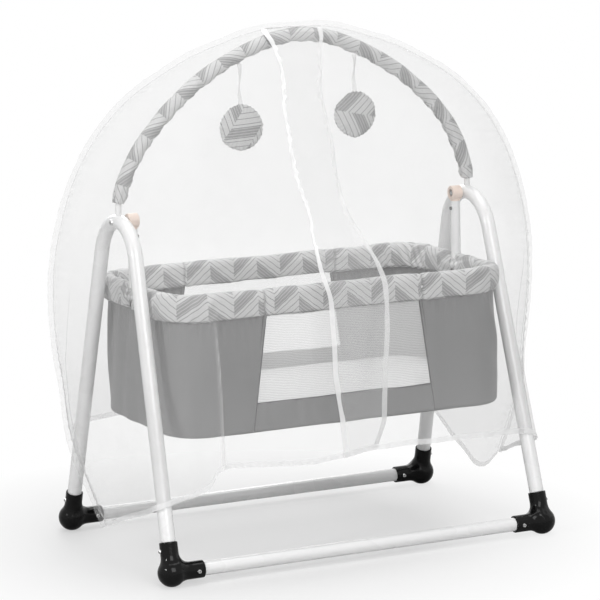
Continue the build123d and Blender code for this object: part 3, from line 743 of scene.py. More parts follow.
def cloth_mesh(name, points, flat, round_again=False, caps=False):
    """A mesh from a grid of points, with its place on the flat cloth kept at each face corner."""
    rows, columns = points.shape[:2]
    turns = columns if round_again else columns - 1
    row, column = np.meshgrid(np.arange(rows - 1), np.arange(turns), indexing="ij")
    following = (column + 1) % columns
    quads = np.stack(
        [row * columns + column, row * columns + following,
         (row + 1) * columns + following, (row + 1) * columns + column], axis=-1
    ).reshape(-1, 4).tolist()
    ways = ((0, 0), (0, 1), (1, 1), (1, 0))
    corners = np.stack([flat[row + down, column + on] for down, on in ways], axis=2).reshape(-1, 2)
    if caps:
        first, last = list(range(columns)), [(rows - 1) * columns + i for i in range(columns)]
        quads += [first[::-1], last]
        corners = np.vstack([corners, flat[0, :columns][::-1], flat[-1, :columns]])
    mesh = bpy.data.meshes.new(name)
    mesh.from_pydata(points.reshape(-1, 3).tolist(), [], quads)
    layer = mesh.attributes.new(CLOTH, "FLOAT_VECTOR", "CORNER")
    layer.data.foreach_set("vector", np.pad(corners, ((0, 0), (0, 1))).astype(np.float32).ravel())
    mesh.polygons.foreach_set("use_smooth", [True] * len(mesh.polygons))
    mesh.update()
    return mesh


def mark(mesh, name, values):
    """Keep a value at each point of a mesh for its finish to read."""
    layer = mesh.attributes.new(name, "FLOAT", "POINT")
    layer.data.foreach_set("value", np.asarray(values, np.float32).ravel())


def grid(*parts):
    """Points from their coordinates, each of them one value, a row, a column or a whole grid."""
    return np.stack(np.broadcast_arrays(*parts), axis=-1)


def place_piece(name, mesh, material, body, slot, *nodes):
    """Put a new piece in the scene, on its body, in place of its CAD nodes."""
    piece = bpy.data.objects.new(name, mesh)
    bpy.context.scene.collection.objects.link(piece)
    mesh.materials.append(material)
    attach(piece, body)
    if nodes:
        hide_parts(*nodes)
    return piece


def cloth_piece(name, points, flat, material, body, slot, *nodes, marks=None, **shape):
    """Make a new piece from a grid of points, with the values that its finish reads."""
    mesh = cloth_mesh(name, points, flat, **shape)
    for title, values in (marks or {}).items():
        mark(mesh, title, values)
    return place_piece(name, mesh, material, body, slot, *nodes)


def printed(scene):
    """The print cloth, made once."""
    return bpy.data.materials.get(PRINT) or print_cloth(scene.swing_finishes, scene.swing_cloth)


def thicken(piece, thickness, offset):
    """Give a sheet its thickness."""
    solid = piece.modifiers.new("thickness", "SOLIDIFY")
    solid.thickness = thickness
    solid.offset = offset


def grid_normals(points):
    """Unit normals of a grid of points."""
    normals = np.cross(np.gradient(points, axis=1), np.gradient(points, axis=0))
    return normals / np.maximum(np.linalg.norm(normals, axis=2, keepdims=True), 1e-9)


def lengths_along(points, axis):
    """Distance along a grid of points, added up along one axis."""
    steps = np.linalg.norm(np.diff(points, axis=axis), axis=2)
    shape = list(steps.shape)
    shape[axis] = 1
    return np.concatenate([np.zeros(shape), np.cumsum(steps, axis=axis)], axis=axis)


def declare_sheet(piece, width, length):
    """Work out the area that a sheet holds and set it against the size of its cut; the result is not kept."""
    area = sum(polygon.area for polygon in piece.data.polygons)
    cut = area if area < width * length else None


def cut_corners(line, rounds):
    """A line with its corners cut again and again, which rounds them."""
    line = np.array(line)
    for _ in range(rounds):
        cuts = np.stack([0.75 * line[:-1] + 0.25 * line[1:], 0.25 * line[:-1] + 0.75 * line[1:]], axis=1)
        line = np.concatenate([line[:1], cuts.reshape(-1, 2), line[-1:]])
    return line


def round_plan(distance, half_x, half_y, corner):
    """Points and outward directions round a rounded plan, from the middle of its right end."""
    straight = half_y - corner
    bend = corner * math.pi / 2
    quarter = straight + bend + half_x - corner
    span = np.abs(distance)
    over = span > quarter
    span = np.where(over, 2 * quarter - span, span)
    angle = np.clip((span - straight) / corner, 0, math.pi / 2)
    x = half_x - corner + corner * np.cos(angle) - np.maximum(span - straight - bend, 0)
    y = np.minimum(span, straight) + corner * np.sin(angle)
    flip_x, flip_y = np.where(over, -1, 1), np.where(distance < 0, -1, 1)
    return x * flip_x, y * flip_y, np.cos(angle) * flip_x, np.sin(angle) * flip_y


def quarter_length(half_x, half_y, corner):
    """A quarter of the way round a rounded plan."""
    return half_y - corner + corner * math.pi / 2 + half_x - corner


def seam_x(z):
    """Half the width of a mesh window at a height."""
    share = (wall_top - z) / (wall_top - wall_bottom)
    return SEAM_TOP + (SEAM_BOTTOM - SEAM_TOP) * share


class SWING_OT_stage(bpy.types.Operator):
    """Make the pale floor, the studio light and the camera"""

    bl_idname = "swing.stage"
    bl_label = "Stage and camera"

    def execute(self, context):
        scene = context.scene
        scene.view_settings.view_transform = "Standard"
        self.camera(scene)
        self.world(scene)
        self.floor(scene)
        for lamp in LAMPS:
            self.lamp(scene, *lamp)
        return {"FINISHED"}

    def camera(self, scene):
        """The photograph's camera."""
        turn, rise, roll = (math.radians(angle) for angle in (VIEW_AZIMUTH, VIEW_ELEVATION, VIEW_ROLL))
        level = math.cos(rise)
        back = Vector((math.sin(turn) * level, -math.cos(turn) * level, math.sin(rise)))
        right = Vector((math.cos(turn), math.sin(turn), 0))
        up = back.cross(right)
        across = right * math.cos(roll) - up * math.sin(roll)
        upward = right * math.sin(roll) + up * math.cos(roll)
        camera = bpy.data.objects.new("photo_camera", bpy.data.cameras.new("photo_camera"))
        camera.data.lens = VIEW_LENS
        camera.data.sensor_width = VIEW_SENSOR
        rotation = Matrix((across, upward, back)).transposed()
        place = back * VIEW_DISTANCE + right * VIEW_RIGHT + up * VIEW_RISE
        camera.matrix_world = Matrix.Translation(place) @ rotation.to_4x4()
        scene.collection.objects.link(camera)
        scene.camera = camera

    def world(self, scene):
        """White wherever it is seen, faint where it only lights."""
        world = bpy.data.worlds.new("studio")
        world.use_nodes = True
        nodes = Nodes(world.node_tree)
        sky = nodes.tree.nodes["Background"]
        for name, value in (("Color", (1, 1, 1)), ("Strength", SKY_STRENGTH)):
            plug(nodes.tree, sky.inputs[name], value)
        white = nodes.node("ShaderNodeBackground", {}, {"Color": (1, 1, 1)})
        kinds = ("Is Camera Ray", "Is Transmission Ray", "Is Glossy Ray")
        seen, through, shone = (nodes.node("ShaderNodeLightPath", {}, {}, kind) for kind in kinds)
        shown = seen.math("MAXIMUM", seen.math("MAXIMUM", seen, through), shone)
        lit = Wire(nodes.tree, sky.outputs[0])
        choice = nodes.node("ShaderNodeMixShader", {}, {0: shown, 1: lit, 2: white})
        plug(nodes.tree, nodes.tree.nodes["World Output"].inputs["Surface"], choice)
        scene.world = world

    def floor(self, scene):
        """A floor that takes shadows near the swing and fades to white further out."""
        mesh = bpy.data.meshes.new("studio_floor")
        form = bmesh.new()
        bmesh.ops.create_grid(form, x_segments=8, y_segments=8, size=FLOOR_REACH)
        form.to_mesh(mesh)
        form.free()
        floor = bpy.data.objects.new("studio_floor", mesh)
        scene.collection.objects.link(floor)
        finish = Finish("pale_floor", base_color=FLOOR_TONE, roughness=0.6, specular_ior_level=0.15)
        place = finish.node("ShaderNodeVectorMath", {}, {0: finish.spot(), 1: FLOOR_SHIFT}, "Vector")
        reach = finish.node("ShaderNodeVectorMath", {"operation": "LENGTH"}, {0: place}, "Value")
        fade = ((reach - FADE_START) / FADE_WIDTH).clamp() * 0.5 + 0.5
        glow = finish.node("ShaderNodeEmission", {}, {"Color": (1, 1, 1), "Strength": 1.0})
        rays = finish.node("ShaderNodeLightPath", {}, {}, "Is Camera Ray")
        lit = Wire(finish.tree, finish.shader.outputs[0])
        blend = finish.node("ShaderNodeMixShader", {}, {0: fade * rays, 1: lit, 2: glow})
        plug(finish.tree, finish.tree.nodes["Material Output"].inputs["Surface"], blend)
        mesh.materials.append(finish.material)

    def lamp(self, scene, name, place, width, power):
        """A square soft lamp."""
        lamp = bpy.data.objects.new(name, bpy.data.lights.new(name, "AREA"))
        lamp.data.size = width
        lamp.data.energy = power
        lamp.location = place
        lamp.rotation_mode = "QUATERNION"
        lamp.rotation_quaternion = (Vector(LAMP_TARGET) - Vector(place)).to_track_quat("-Z", "Y")
        scene.collection.objects.link(lamp)


class SWING_OT_hard_parts(bpy.types.Operator):
    """Give the tubes, hubs and fasteners their finishes"""

    bl_idname = "swing.hard_parts"
    bl_label = "Hard parts"

    def execute(self, context):
        look = context.scene.swing_finishes
        finishes = {
            "white_tube": tube_paint(look),
            "bright_steel": steel("plated_steel", (0.72, 0.72, 0.72), gloss=0.18),
            "dark_steel": steel("blackened_steel", (0.09, 0.09, 0.09), gloss=0.3),
            "white_plastic": soft_plastic("white_nylon", grey(235), gloss=0.35),
            "peach_plastic": soft_plastic("peach_plastic", look.hub, gloss=0.32),
            "board": hard_board(),
        }
        for part in frame["record"]["subparts"]:
            slot = part["material_slot"]
            if slot in finishes:
                self.dress(frame["nodes"][part["node"]], finishes[slot])
        self.crosses(finishes["dark_steel"])
        return {"FINISHED"}

    def dress(self, node, material):
        """A CAD node's finish, with its facets joined and its edges crisp."""
        node.data.materials.clear()
        node.data.materials.append(material)
        node.data.polygons.foreach_set("use_smooth", [True] * len(node.data.polygons))
        weld = node.modifiers.new("joined_facets", "WELD")
        weld.merge_threshold = WELD_GAP
        split = node.modifiers.new("crisp_edges", "EDGE_SPLIT")
        split.split_angle = math.radians(CRISP_ANGLE)

    def crosses(self, material):
        """A dark cross on the head of each foot screw: painted shade that stands for its cross recess."""
        form = bmesh.new()
        form.from_mesh(frame["nodes"]["foot_screws"].data)
        bmesh.ops.remove_doubles(form, verts=form.verts, dist=WELD_GAP)
        seen, screws = set(), []
        for first in form.verts:
            island, queue = [], [first]
            while queue:
                vertex = queue.pop()
                if vertex not in seen:
                    seen.add(vertex)
                    island.append(vertex.co[:])
                    queue += [edge.other_vert(vertex) for edge in vertex.link_edges]
            if island:
                screws.append(np.array(island))
        form.free()
        recess = bmesh.new()
        for points in screws:
            self.cross(recess, points)
        mesh = bpy.data.meshes.new("screw_recesses")
        recess.to_mesh(mesh)
        recess.free()
        place_piece("screw_recesses", mesh, material, "stand", "dark_steel")

    def cross(self, recess, points):
        """Two crossed dark bars on the wider end of one screw, set on its head and not cut into it: painted shade
        of the recess.
        """
        long, wide, deep = CROSS_SIZE
        centre = (points.max(0) + points.min(0)) / 2
        axis = np.linalg.svd(points - points.mean(0))[2][0]
        along = (points - centre) @ axis
        girth = np.linalg.norm(points - centre - np.outer(along, axis), axis=1)
        axis = axis * (1 if along[girth.argmax()] > 0 else -1)
        top = centre + axis * np.abs(along).max()
        turn = Vector(axis).to_track_quat("Z", "Y").to_matrix().to_4x4()
        for bar in ((long, wide, deep), (wide, long, deep)):
            place = Matrix.Translation(Vector(top)) @ turn @ Matrix.Diagonal((*bar, 1))
            bmesh.ops.create_cube(recess, size=1.0, matrix=place)


class SWING_OT_feet(bpy.types.Operator):
    """Make the moulded feet, whose necks sweep into the ball"""

    bl_idname = "swing.feet"
    bl_label = "Feet"

    ball: size_choice("Ball", "Radius of the ball", BALL_RADIUS)
    collar: size_choice("Collar", "Radius round the leg", 0.0195)
    socket: size_choice("Socket", "Radius round the bar", 0.019)
    sweep: size_choice("Sweep", "Hollow of each neck", 0.034)
    crook: size_choice("Crook", "Softness between the necks", 0.020)
    ring: size_choice("Ring", "Slant of a leg's end ring", 0.0095)
    grain: size_choice("Grain", "Size of the facets", 0.0014)

    def execute(self, context):
        material = foot_plastic(context.scene.swing_finishes)
        for end_name, end in ENDS.items():
            for side_name, side in SIDES.items():
                node = f"{end_name}_{side_name}_foot"
                mesh = self.even_mesh(context, node)
                self.sweep_necks(mesh, node, frame["nodes"][f"{side_name}_leg_frame"], side, end)
                place_piece(f"{end_name}_{side_name}_elbow", mesh, material, "stand", "black_plastic", node)
        return {"FINISHED"}

    def even_mesh(self, context, node):
        """The foot's form in small even facets."""
        form = bpy.data.objects.new("foot_form", frame["nodes"][node].data.copy())
        context.scene.collection.objects.link(form)
        form.data.materials.clear()
        facets = form.modifiers.new("even_facets", "REMESH")
        facets.mode = "VOXEL"
        facets.voxel_size = self.grain
        mesh = bpy.data.meshes.new_from_object(form.evaluated_get(context.evaluated_depsgraph_get()))
        bpy.data.objects.remove(form)
        mesh.polygons.foreach_set("use_smooth", [True] * len(mesh.polygons))
        return mesh

    def sweep_necks(self, mesh, node, leg, side, end):
        """Move the outer skin on to one smooth form of ball, collar and socket."""
        low, high = (np.array(corner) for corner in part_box(node))
        far = np.where((side, end) > np.zeros(2), high[:2], -low[:2]) - self.ball
        centre = np.array([side * far[0], end * far[1], foot_z])
        tube = np.array([vertex.co[:] for vertex in leg.data.vertices])
        tube = tube[(tube[:, 1] * end > 0) & (tube[:, 2] > pivot_z / 2)]
        ring = tube[tube[:, 2] < tube[:, 2].min() + self.ring]
        up = unit(ring.mean(axis=0) - centre)
        bar = np.array([-side, 0.0, 0.0])
        points = np.array([vertex.co[:] for vertex in mesh.vertices])
        moved = points.copy()
        for _ in range(8):
            gap = self.form(moved - centre, up, bar)[0]
            steps = np.eye(3) * SLOPE_STEP
            slopes = [(self.form(moved + step - centre, up, bar)[0] - gap) / SLOPE_STEP for step in steps]
            slope = np.stack(slopes, axis=1)
            moved -= slope * (gap / np.maximum((slope**2).sum(axis=1), 0.2))[:, None]
        skin = np.abs(self.form(points - centre, up, bar)[1])
        collar, socket = COLLAR_REACH - (points - centre) @ up, SOCKET_REACH - (points - centre) @ bar
        from_mouth = np.minimum(collar, socket)
        share = (1 - ease(skin, *SKIN_DEPTH)) * ease(from_mouth, *MOUTH_KEPT)
        share = share * ease(points[:, 2], *FLOOR_KEPT)
        moved = points + (moved - points) * share[:, None]
        mesh.vertices.foreach_set("co", moved.ravel())
        mesh.update()

    def neck(self, along, radius):
        """Radius of the ball, and of a neck sweeping out of it, at a distance along the neck."""
        meet = math.sqrt((self.ball + self.sweep) ** 2 - (radius + self.sweep) ** 2)
        start = meet * self.ball / (self.ball + self.sweep)
        bulge = np.sqrt(np.maximum(self.ball**2 - along**2, 0))
        hollow = radius + self.sweep - np.sqrt(self.sweep**2 - (meet - np.clip(along, start, meet)) ** 2)
        return np.where(along < start, bulge, hollow)

    def form(self, places, up, bar):
        """Distance to the swept join of ball, collar and socket, and to the nearest plain one of them."""
        ball = np.linalg.norm(places, axis=1) - self.ball
        plain, swept, ahead = [ball], [], 1.0
        for axis, radius in ((up, self.collar), (bar, self.socket)):
            along = places @ axis
            reach = np.linalg.norm(places - along[:, None] * axis, axis=1)
            plain.append(np.maximum(reach - radius, -along))
            swept.append(np.where(along > 0, reach - self.neck(along, radius), ball))
            ahead = ahead * ease(along, 0.0, self.collar)
        share = np.maximum(self.crook - np.abs(swept[0] - swept[1]), 0) / self.crook
        soft = np.minimum(*swept) - ahead * share**2 * self.crook / 4
        return soft, np.minimum.reduce(plain)


class SWING_OT_rim_cuffs(bpy.types.Operator):
    """Make the padded printed cuffs over the rim"""

    bl_idname = "swing.rim_cuffs"
    bl_label = "Rim cuffs"

    top: size_choice("Top", "Rise above the rail", 0.0270)
    foot: size_choice("Foot", "Drop below the rail", 0.0325)
    rear_foot: size_choice("Rear foot", "Drop at the rear", 0.0275)
    half: size_choice("Half", "Half thickness", 0.0150)
    slit: size_choice("Slit", "Half of the slit", 0.004)

    def execute(self, context):
        material = printed(context.scene)
        for name, end in ENDS.items():
            piece = self.cuff(name, end, context.scene.swing_cloth.column, material)
        return {"FINISHED"}

    def cuff(self, name, end, print_column, material):
        """A padded tube round half of the rim, open at both ends."""
        rows, columns = 420, 64
        quarter = quarter_length(rail_x, rail_y, CORNER)
        travel = np.linspace(self.slit, 2 * quarter - self.slit, rows)[:, None]
        x, y, out_x, out_y = round_plan(travel * end, rail_x, rail_y, CORNER)
        angle = np.linspace(-0.5 * math.pi, 1.5 * math.pi, columns, endpoint=False)
        side, lift = np.cos(angle), np.sin(angle)
        across = self.half * np.sign(side) * np.abs(side) ** np.where(lift > 0, *CUFF_SIDE_ROUND)
        across = across * (1 - CUFF_TAPER * np.maximum(-lift, 0) ** 2)
        foot = self.foot if end < 0 else self.rear_foot
        height = np.where(lift > 0, self.top, foot) * np.sign(lift)
        height = height * np.abs(lift) ** np.where(lift > 0, *CUFF_TOP_ROUND)
        from_end = np.minimum(travel - self.slit, 2 * quarter - self.slit - travel)
        swell = self.folds(travel, angle, from_end, quarter, end)
        drawn = 1 - CUFF_DRAW * (1 - ease(from_end, 0.0, CUFF_DRAW_REACH))
        reach = across * drawn + swell * side
        rise = height * drawn + swell * lift
        points = grid(x + out_x * reach, y + out_y * reach, rail_z + rise)
        points = np.concatenate([self.tuck(points[0]), points, self.tuck(points[-1])[::-1]])
        girth = lengths_along(points, 1)
        whole = girth[:, -1:] + np.linalg.norm(points[:, :1] - points[:, -1:], axis=2)
        flat_across = np.concatenate([girth, whole], axis=1)
        run = np.pad(travel, ((2, 2), (0, 0)), mode="edge")
        joins = self.joins(quarter)
        peak, over_seam = PRINT_PEAKS[name]
        place = quarter - run - peak + print_column
        if end < 0:
            place = place - PRINT_SHIFT * (run > joins[1])
        else:
            flat_across = whole - flat_across
        # Seam marks, which darken the print: the joins, and a line low on each side of the cuff that is partly its
        # lower seam and partly painted shadow under the cuff
        seams = sum(hump(run, join, width=0.0025) for join in joins)
        steps = np.arange(columns)
        low = hump(np.minimum(steps, columns - steps), centre=5.6, width=0.9)
        seam_shade_marks = np.maximum(0.5 * seams, low * (run > self.slit + 0.02))
        return cloth_piece(
            f"{name}_cuff", points, grid(place, flat_across - over_seam), material, "cot", "print_cloth",
            f"{name}_rim_cuff", marks={SEAM_AND_SHADE: seam_shade_marks}, round_again=True,
        )

    def folds(self, run, angle, from_end, quarter, end):
        """Outward push: lumps, gathers, creases at the bends, ruched ends, and pinches at the joins."""
        side, lift, joins = np.cos(angle), np.sin(angle), self.joins(quarter)
        seed = 11 if end < 0 else 23
        lumps = CUFF_LUMPS * smooth_noise(run / 0.055, angle * 1.3, seed)
        lumps = lumps + CUFF_FINE_LUMPS * smooth_noise(run / 0.018, angle * 2.5, seed + 1)
        wander = 2.2 * smooth_noise(run / 0.05, 0.0, seed + 2)
        gathers = CUFF_GATHERS * ease(-lift, 0.25, 0.95) * wave(run, pitch=0.0215, shift=wander)
        bend_start = rail_y - CORNER
        bend_end = bend_start + CORNER * math.pi / 2
        folded = np.minimum(run, 2 * quarter - run)
        bend = ease(folded, bend_start - 0.03, bend_start + 0.02)
        bend = bend * (1 - ease(folded, bend_end - 0.01, bend_end + 0.05))
        creases = CUFF_CREASES * bend * (0.35 + 0.65 * ease(-side, 0.1, 0.9))
        creases = creases * wave(run / 0.026 + 0.7 * angle, pitch=1.0, shift=wander)
        ruche = CUFF_RUCHE * (1 - ease(from_end, 0.004, 0.075))
        ruche = ruche * np.sin(5 * angle + 3 * smooth_noise(run / 0.02, angle, seed + 3))
        right = folded > run - 1e-9
        puff = CUFF_PUFF * right * bend * (ease(side, 0.1, 0.9) * ease(lift, -0.9, 0.1))
        away = np.min([np.abs(run - join) for join in joins], axis=0)
        level = np.where(side > 0, angle, math.pi - angle)
        pinch = CUFF_PINCH * np.exp(-away / 0.024) * hump(level, centre=-0.12, width=0.17)
        seams = CUFF_SUNK_SEAM * sum(hump(run, join, width=0.0035) for join in joins)
        return lumps + gathers + creases + ruche + puff - pinch - seams

    def joins(self, quarter):
        """Where two lengths of print are sewn together: over the window seams."""
        return (quarter - SEAM_TOP - CUFF_JOIN_PAST, quarter + SEAM_TOP + CUFF_JOIN_PAST)

    def tuck(self, ring):
        """Two rings that turn an open end in towards the hanger sleeve."""
        centre = ring.mean(axis=0)
        inner = centre + unit(ring - centre) * CUFF_MOUTH
        ahead = np.array([0.0, 0.006, 0.0]) * np.sign(centre[1])
        return np.stack([inner + ahead, (ring + inner) / 2 + ahead * 0.1])


class SWING_OT_cot_cloth(bpy.types.Operator):
    """Make the cot's cloth ends, mesh windows, lower bands, seam welts and floor"""

    bl_idname = "swing.cot_cloth"
    bl_label = "Cot cloth"

    def execute(self, context):
        plain = plain_cloth(context.scene.swing_finishes)
        mesh = mesh_cloth()
        for name, side in SIDES.items():
            self.end_panel(name, side, plain)
        for name, end in ENDS.items():
            self.window(name, end, mesh)
            self.band(name, end, plain)
            self.welts(name, end, plain)
        self.floor_cloth(plain)
        return {"FINISHED"}

    def end_panel(self, name, side, material):
        """Cloth round one end of the cot, from window seam to window seam, turned in at its bottom."""
        rows, turned, columns = 70, 6, 220
        roll = np.linspace(0.15, 1.0, turned) * math.pi / 2
        upright = np.linspace(wall_top + WALL_TUCK, wall_bottom + BOTTOM_ROLL, rows)
        level = np.append(upright, wall_bottom + BOTTOM_ROLL - BOTTOM_ROLL * np.sin(roll))[:, None]
        inset = np.append(np.zeros(rows), BOTTOM_ROLL * (1 - np.cos(roll)))[:, None]
        half = quarter_length(WALL_X, wall_y, CORNER) - seam_x(np.minimum(level, wall_top))
        distance = np.linspace(-1, 1, columns) * half
        x, y, out_x, out_y = round_plan(distance, WALL_X, wall_y, CORNER)
        push = self.panel_folds(side, distance, level, half) - inset
        points = grid(side * (x + out_x * push), y + out_y * push, level)
        piece = cloth_piece(
            f"{name}_cloth_end", points, grid(distance, lengths_along(points, 0)), material, "cot",
            "grey_cloth", f"{name}_end_panel",
        )
        thicken(piece, END_THICKNESS, -1.0 * side)
        declare_sheet(piece, float(2 * half.max()), END_CUT)

    def panel_folds(self, side, distance, level, half):
        """Outward push of a cloth end: a slack belly, soft upright folds and small puckers at the rim."""
        drop = (wall_top - level) / (wall_top - wall_bottom)
        along = np.abs(distance)
        held = np.clip(1 - (along / half) ** 8, 0, 1)
        belly = END_BELLY * np.sin(math.pi * np.clip(drop, 0, 1)) + END_SAG * ease(drop, 0.0, 0.9)
        seed = 31 if side < 0 else 41
        waves = END_WAVES * smooth_noise(distance / 0.050 + 0.2 * drop, drop * 1.2, seed)
        wander = 2 * smooth_noise(distance / 0.05, 0, seed + 1)
        puckers = END_PUCKERS * np.exp(-drop / 0.09) * wave(distance, pitch=0.019, shift=wander)
        if side < 0:
            place = along - 0.018 * ease(drop, 0.45, 1.0)
            folds = sum(depth * hump(place, centre, width) for centre, width, depth in LEFT_END_FOLDS)
            folds = folds * ease(drop, -0.05, 0.14) * (1 - 0.75 * ease(drop, 0.84, 0.98))
        else:
            place = half - along - 0.085 * drop
            folds = sum(depth * hump(place, centre, width) for centre, width, depth in RIGHT_END_FOLDS)
            folds = folds * ease(along, 0.1, 0.2) * (1 - ease(drop, 0.25, 0.75))
            folds = folds + END_CORNERS * hump(along, wall_y - CORNER * 0.25, width=0.075)
        return belly * held + waves * held * 0.6 + puckers + folds * held

    def straight(self, end, top, bottom, rows, columns, seed):
        """A panel along the front or the rear, between the window seams."""
        level = np.linspace(top, bottom, rows)[:, None]
        share = np.linspace(-1, 1, columns)
        x = share * seam_x(level)
        slack = WALL_SLACK * smooth_noise(x / 0.09, level / 0.09, seed) * (1 - share**8)
        return grid(x, end * (wall_y + slack), level), grid(x, level)

    def window(self, name, end, material):
        """The mesh between two window seams."""
        top = band_tops[end]
        points, flat = self.straight(end, wall_top + WALL_TUCK, top - BAND_LAP, rows=40, columns=80, seed=51)
        piece = cloth_piece(
            f"{name}_window", points, flat, material, "cot", "window_mesh", f"{name}_mesh_window",
            # Each window's cover, set per end so that it looks lighter: painted light
            marks={THREAD_COVER: np.full(points.shape[:2], MESH_COVER[end])},
        )
        length = wall_top - top + WINDOW_SPARE
        declare_sheet(piece, 2 * SEAM_BOTTOM, length)

    def band(self, name, end, material):
        """The plain band under a window, a little creased."""
        top = band_tops[end]
        points, flat = self.straight(end, top, wall_bottom, rows=24, columns=160, seed=61)
        x, level = points[:, :, 0], points[:, :, 2]
        rise = (level - wall_bottom) / (top - wall_bottom)
        points[:, :, 2] += rise * self.band_edge(x)
        creases = BAND_CREASES * smooth_noise(x / 0.016 + 0.3 * rise, rise, 63) * ease(-x, -0.05, 0.12)
        turned = BAND_TURN * (1 - ease(rise, 0.0, 0.16)) ** 2
        points[:, :, 1] += end * (BAND_OUT + creases + BAND_BOW * np.sin(rise * math.pi) - turned)
        title = f"{name}_band"
        piece = cloth_piece(title, points, flat, material, "cot", "grey_cloth", f"{name}_lower_band")
        thicken(piece, BAND_THICKNESS, 0.0)
        declare_sheet(piece, 2 * SEAM_BOTTOM, top - wall_bottom)

    def band_edge(self, x):
        """Unevenness of a band's top edge."""
        return BAND_UNEVEN * smooth_noise(x / 0.07, 0, 62)

    def welts(self, name, end, material):
        """Corded seams up both edges of a window and along the top of its band."""
        top = band_tops[end]
        out = end * (wall_y + WELT_OUT)
        level = np.linspace(wall_top + 0.002, wall_bottom + 0.004, 60)
        rows = [
            (grid(side * (seam_x(level) + beside), out, level), radius)
            for side in (-1, 1) for beside, radius in WELTS
        ]
        x = np.linspace(-1, 1, 90) * seam_x(top)
        rows.append((grid(x, out, top + self.band_edge(x)), WELTS[0][1]))
        for number, (line, radius) in enumerate(rows):
            self.cord(f"{name}_welt_{number}", line, radius, material)

    def cord(self, name, line, radius, material):
        """A thin round cord along a line."""
        columns = 10
        ahead = unit(np.gradient(line, axis=0))
        out = unit(np.cross(ahead, np.array([0.0, 1.0, 0.0])))
        over = np.cross(ahead, out)
        angle = np.linspace(0, FULL_TURN, columns, endpoint=False)[:, None]
        points = line[:, None] + (np.cos(angle) * out[:, None] + np.sin(angle) * over[:, None]) * radius
        flat = grid(run_along(line)[:, None], np.linspace(0, FULL_TURN * radius, columns + 1))
        # The cord is darkened: a dark seam line, partly painted shade beside the welt
        marks = {SEAM_AND_SHADE: np.full(points.shape[:2], WELT_SHADE)}
        cloth_piece(
            name, points, flat, material, "cot", "grey_cloth", marks=marks, round_again=True, caps=True
        )

    def floor_cloth(self, material):
        """The cloth under the mattress, with a slight sag."""
        rings, columns = 24, 200
        quarter = quarter_length(WALL_X, wall_y, CORNER)
        turn = np.linspace(-2 * quarter, 2 * quarter, columns, endpoint=False)
        x, y, _, _ = round_plan(turn, WALL_X, wall_y, CORNER)
        share = np.linspace(0.004, 0.993, rings)[:, None]
        x, y = x * share, y * share
        sag = FLOOR_SAG * (1 - share**2) + FLOOR_LUMPS * smooth_noise(x / 0.06, y / 0.06, 71)
        points = grid(x, y, wall_bottom - FLOOR_DROP - sag)
        flat = np.concatenate([points, points[:, :1]], axis=1)[:, :, :2]
        piece = cloth_piece(
            "cot_floor", points, flat, material, "cot", "grey_cloth", "floor_cloth", round_again=True
        )
        declare_sheet(piece, 2 * WALL_X, 2 * wall_y)


class SWING_OT_mattress(bpy.types.Operator):
    """Make the crowned mattress with its piped edges"""

    bl_idname = "swing.mattress"
    bl_label = "Mattress"

    gap: size_choice("Gap", "Gap to the cot's walls", 0.015)

    def execute(self, context):
        low, high = mattress_low.z, mattress_high.z
        deep = high - low
        profile = (
            (0.30, 0.0), (0.120, 0.0), (0.030, 0.0005), (0.008, 0.004), (0.0045, 0.009), (0.0, deep * 0.42),
            (0.0035, deep * 0.74), (0.0055, deep * 0.80), (0.0025, deep * 0.83), (0.0030, deep * 0.865),
            (0.0075, deep * 0.875), (0.016, deep * 0.90), (0.040, deep * 0.95), (0.090, deep * 0.985),
            (0.19, deep),
        )
        columns = 240
        rows = []
        for inset, rise in cut_corners(profile, 2):
            half_x, half_y = (max(wall - self.gap - inset, LEAST_HALF) for wall in (WALL_X, wall_y))
            corner = max(min(CORNER - self.gap - inset, half_y * 0.9), LEAST_CORNER)
            quarter = quarter_length(half_x, half_y, corner)
            turn = np.linspace(-2 * quarter, 2 * quarter, columns, endpoint=False)
            x, y, _, _ = round_plan(turn, half_x, half_y, corner)
            puckers = MATTRESS_PUCKERS * smooth_noise(np.arange(columns) / 6.0, rise * 60, 81)
            waves = MATTRESS_WAVES * smooth_noise(x / 0.08, y / 0.08, 82) * (rise > deep * 0.86)
            rows.append(grid(x + puckers, y + puckers, low + rise + waves))
        points = np.stack(rows)
        flat = np.concatenate([points, points[:, :1]], axis=1)[:, :, :2] + points[:, :1, 2:] * 0.5
        piece = cloth_piece(
            "cot_mattress", points, flat, mattress_cloth(), "cot", "mattress_cloth", "mattress",
            round_again=True, caps=True,
        )
        return {"FINISHED"}


def arch_bends():
    """Each bend of the arch: its radius and the headings where it starts and stops."""
    bends = list(zip(ARCH_HEADINGS, ARCH_HEADINGS[1:]))
    runs = [math.sin(math.radians(a)) - math.sin(math.radians(b)) for a, b in bends]
    rises = [math.cos(math.radians(b)) - math.cos(math.radians(a)) for a, b in bends]
    radii = [ARCH_TOE, ARCH_SHOULDER, 0, ARCH_CROWN, 0, ARCH_SHOULDER, ARCH_TOE]
    run = 2 * apex_x - sum(radius * step for radius, step in zip(radii, runs))
    rise = -sum(radius * step for radius, step in zip(radii, rises))
    share = runs[2] * rises[4] - runs[4] * rises[2]
    radii[2] = (run * rises[4] - runs[4] * rise) / share
    radii[4] = (runs[2] * rise - rises[2] * run) / share
    return list(zip(radii, bends))


def arch_point(heading):
    """Where the arch's line points this many degrees above level."""
    x, z = -apex_x, pivot_z + ARCH_SPRING_RISE
    for radius, (start, stop) in arch_bends():
        end = max(heading, stop)
        x += radius * (math.sin(math.radians(start)) - math.sin(math.radians(end)))
        z += radius * (math.cos(math.radians(end)) - math.cos(math.radians(start)))
        if heading >= stop:
            break
    return x, z


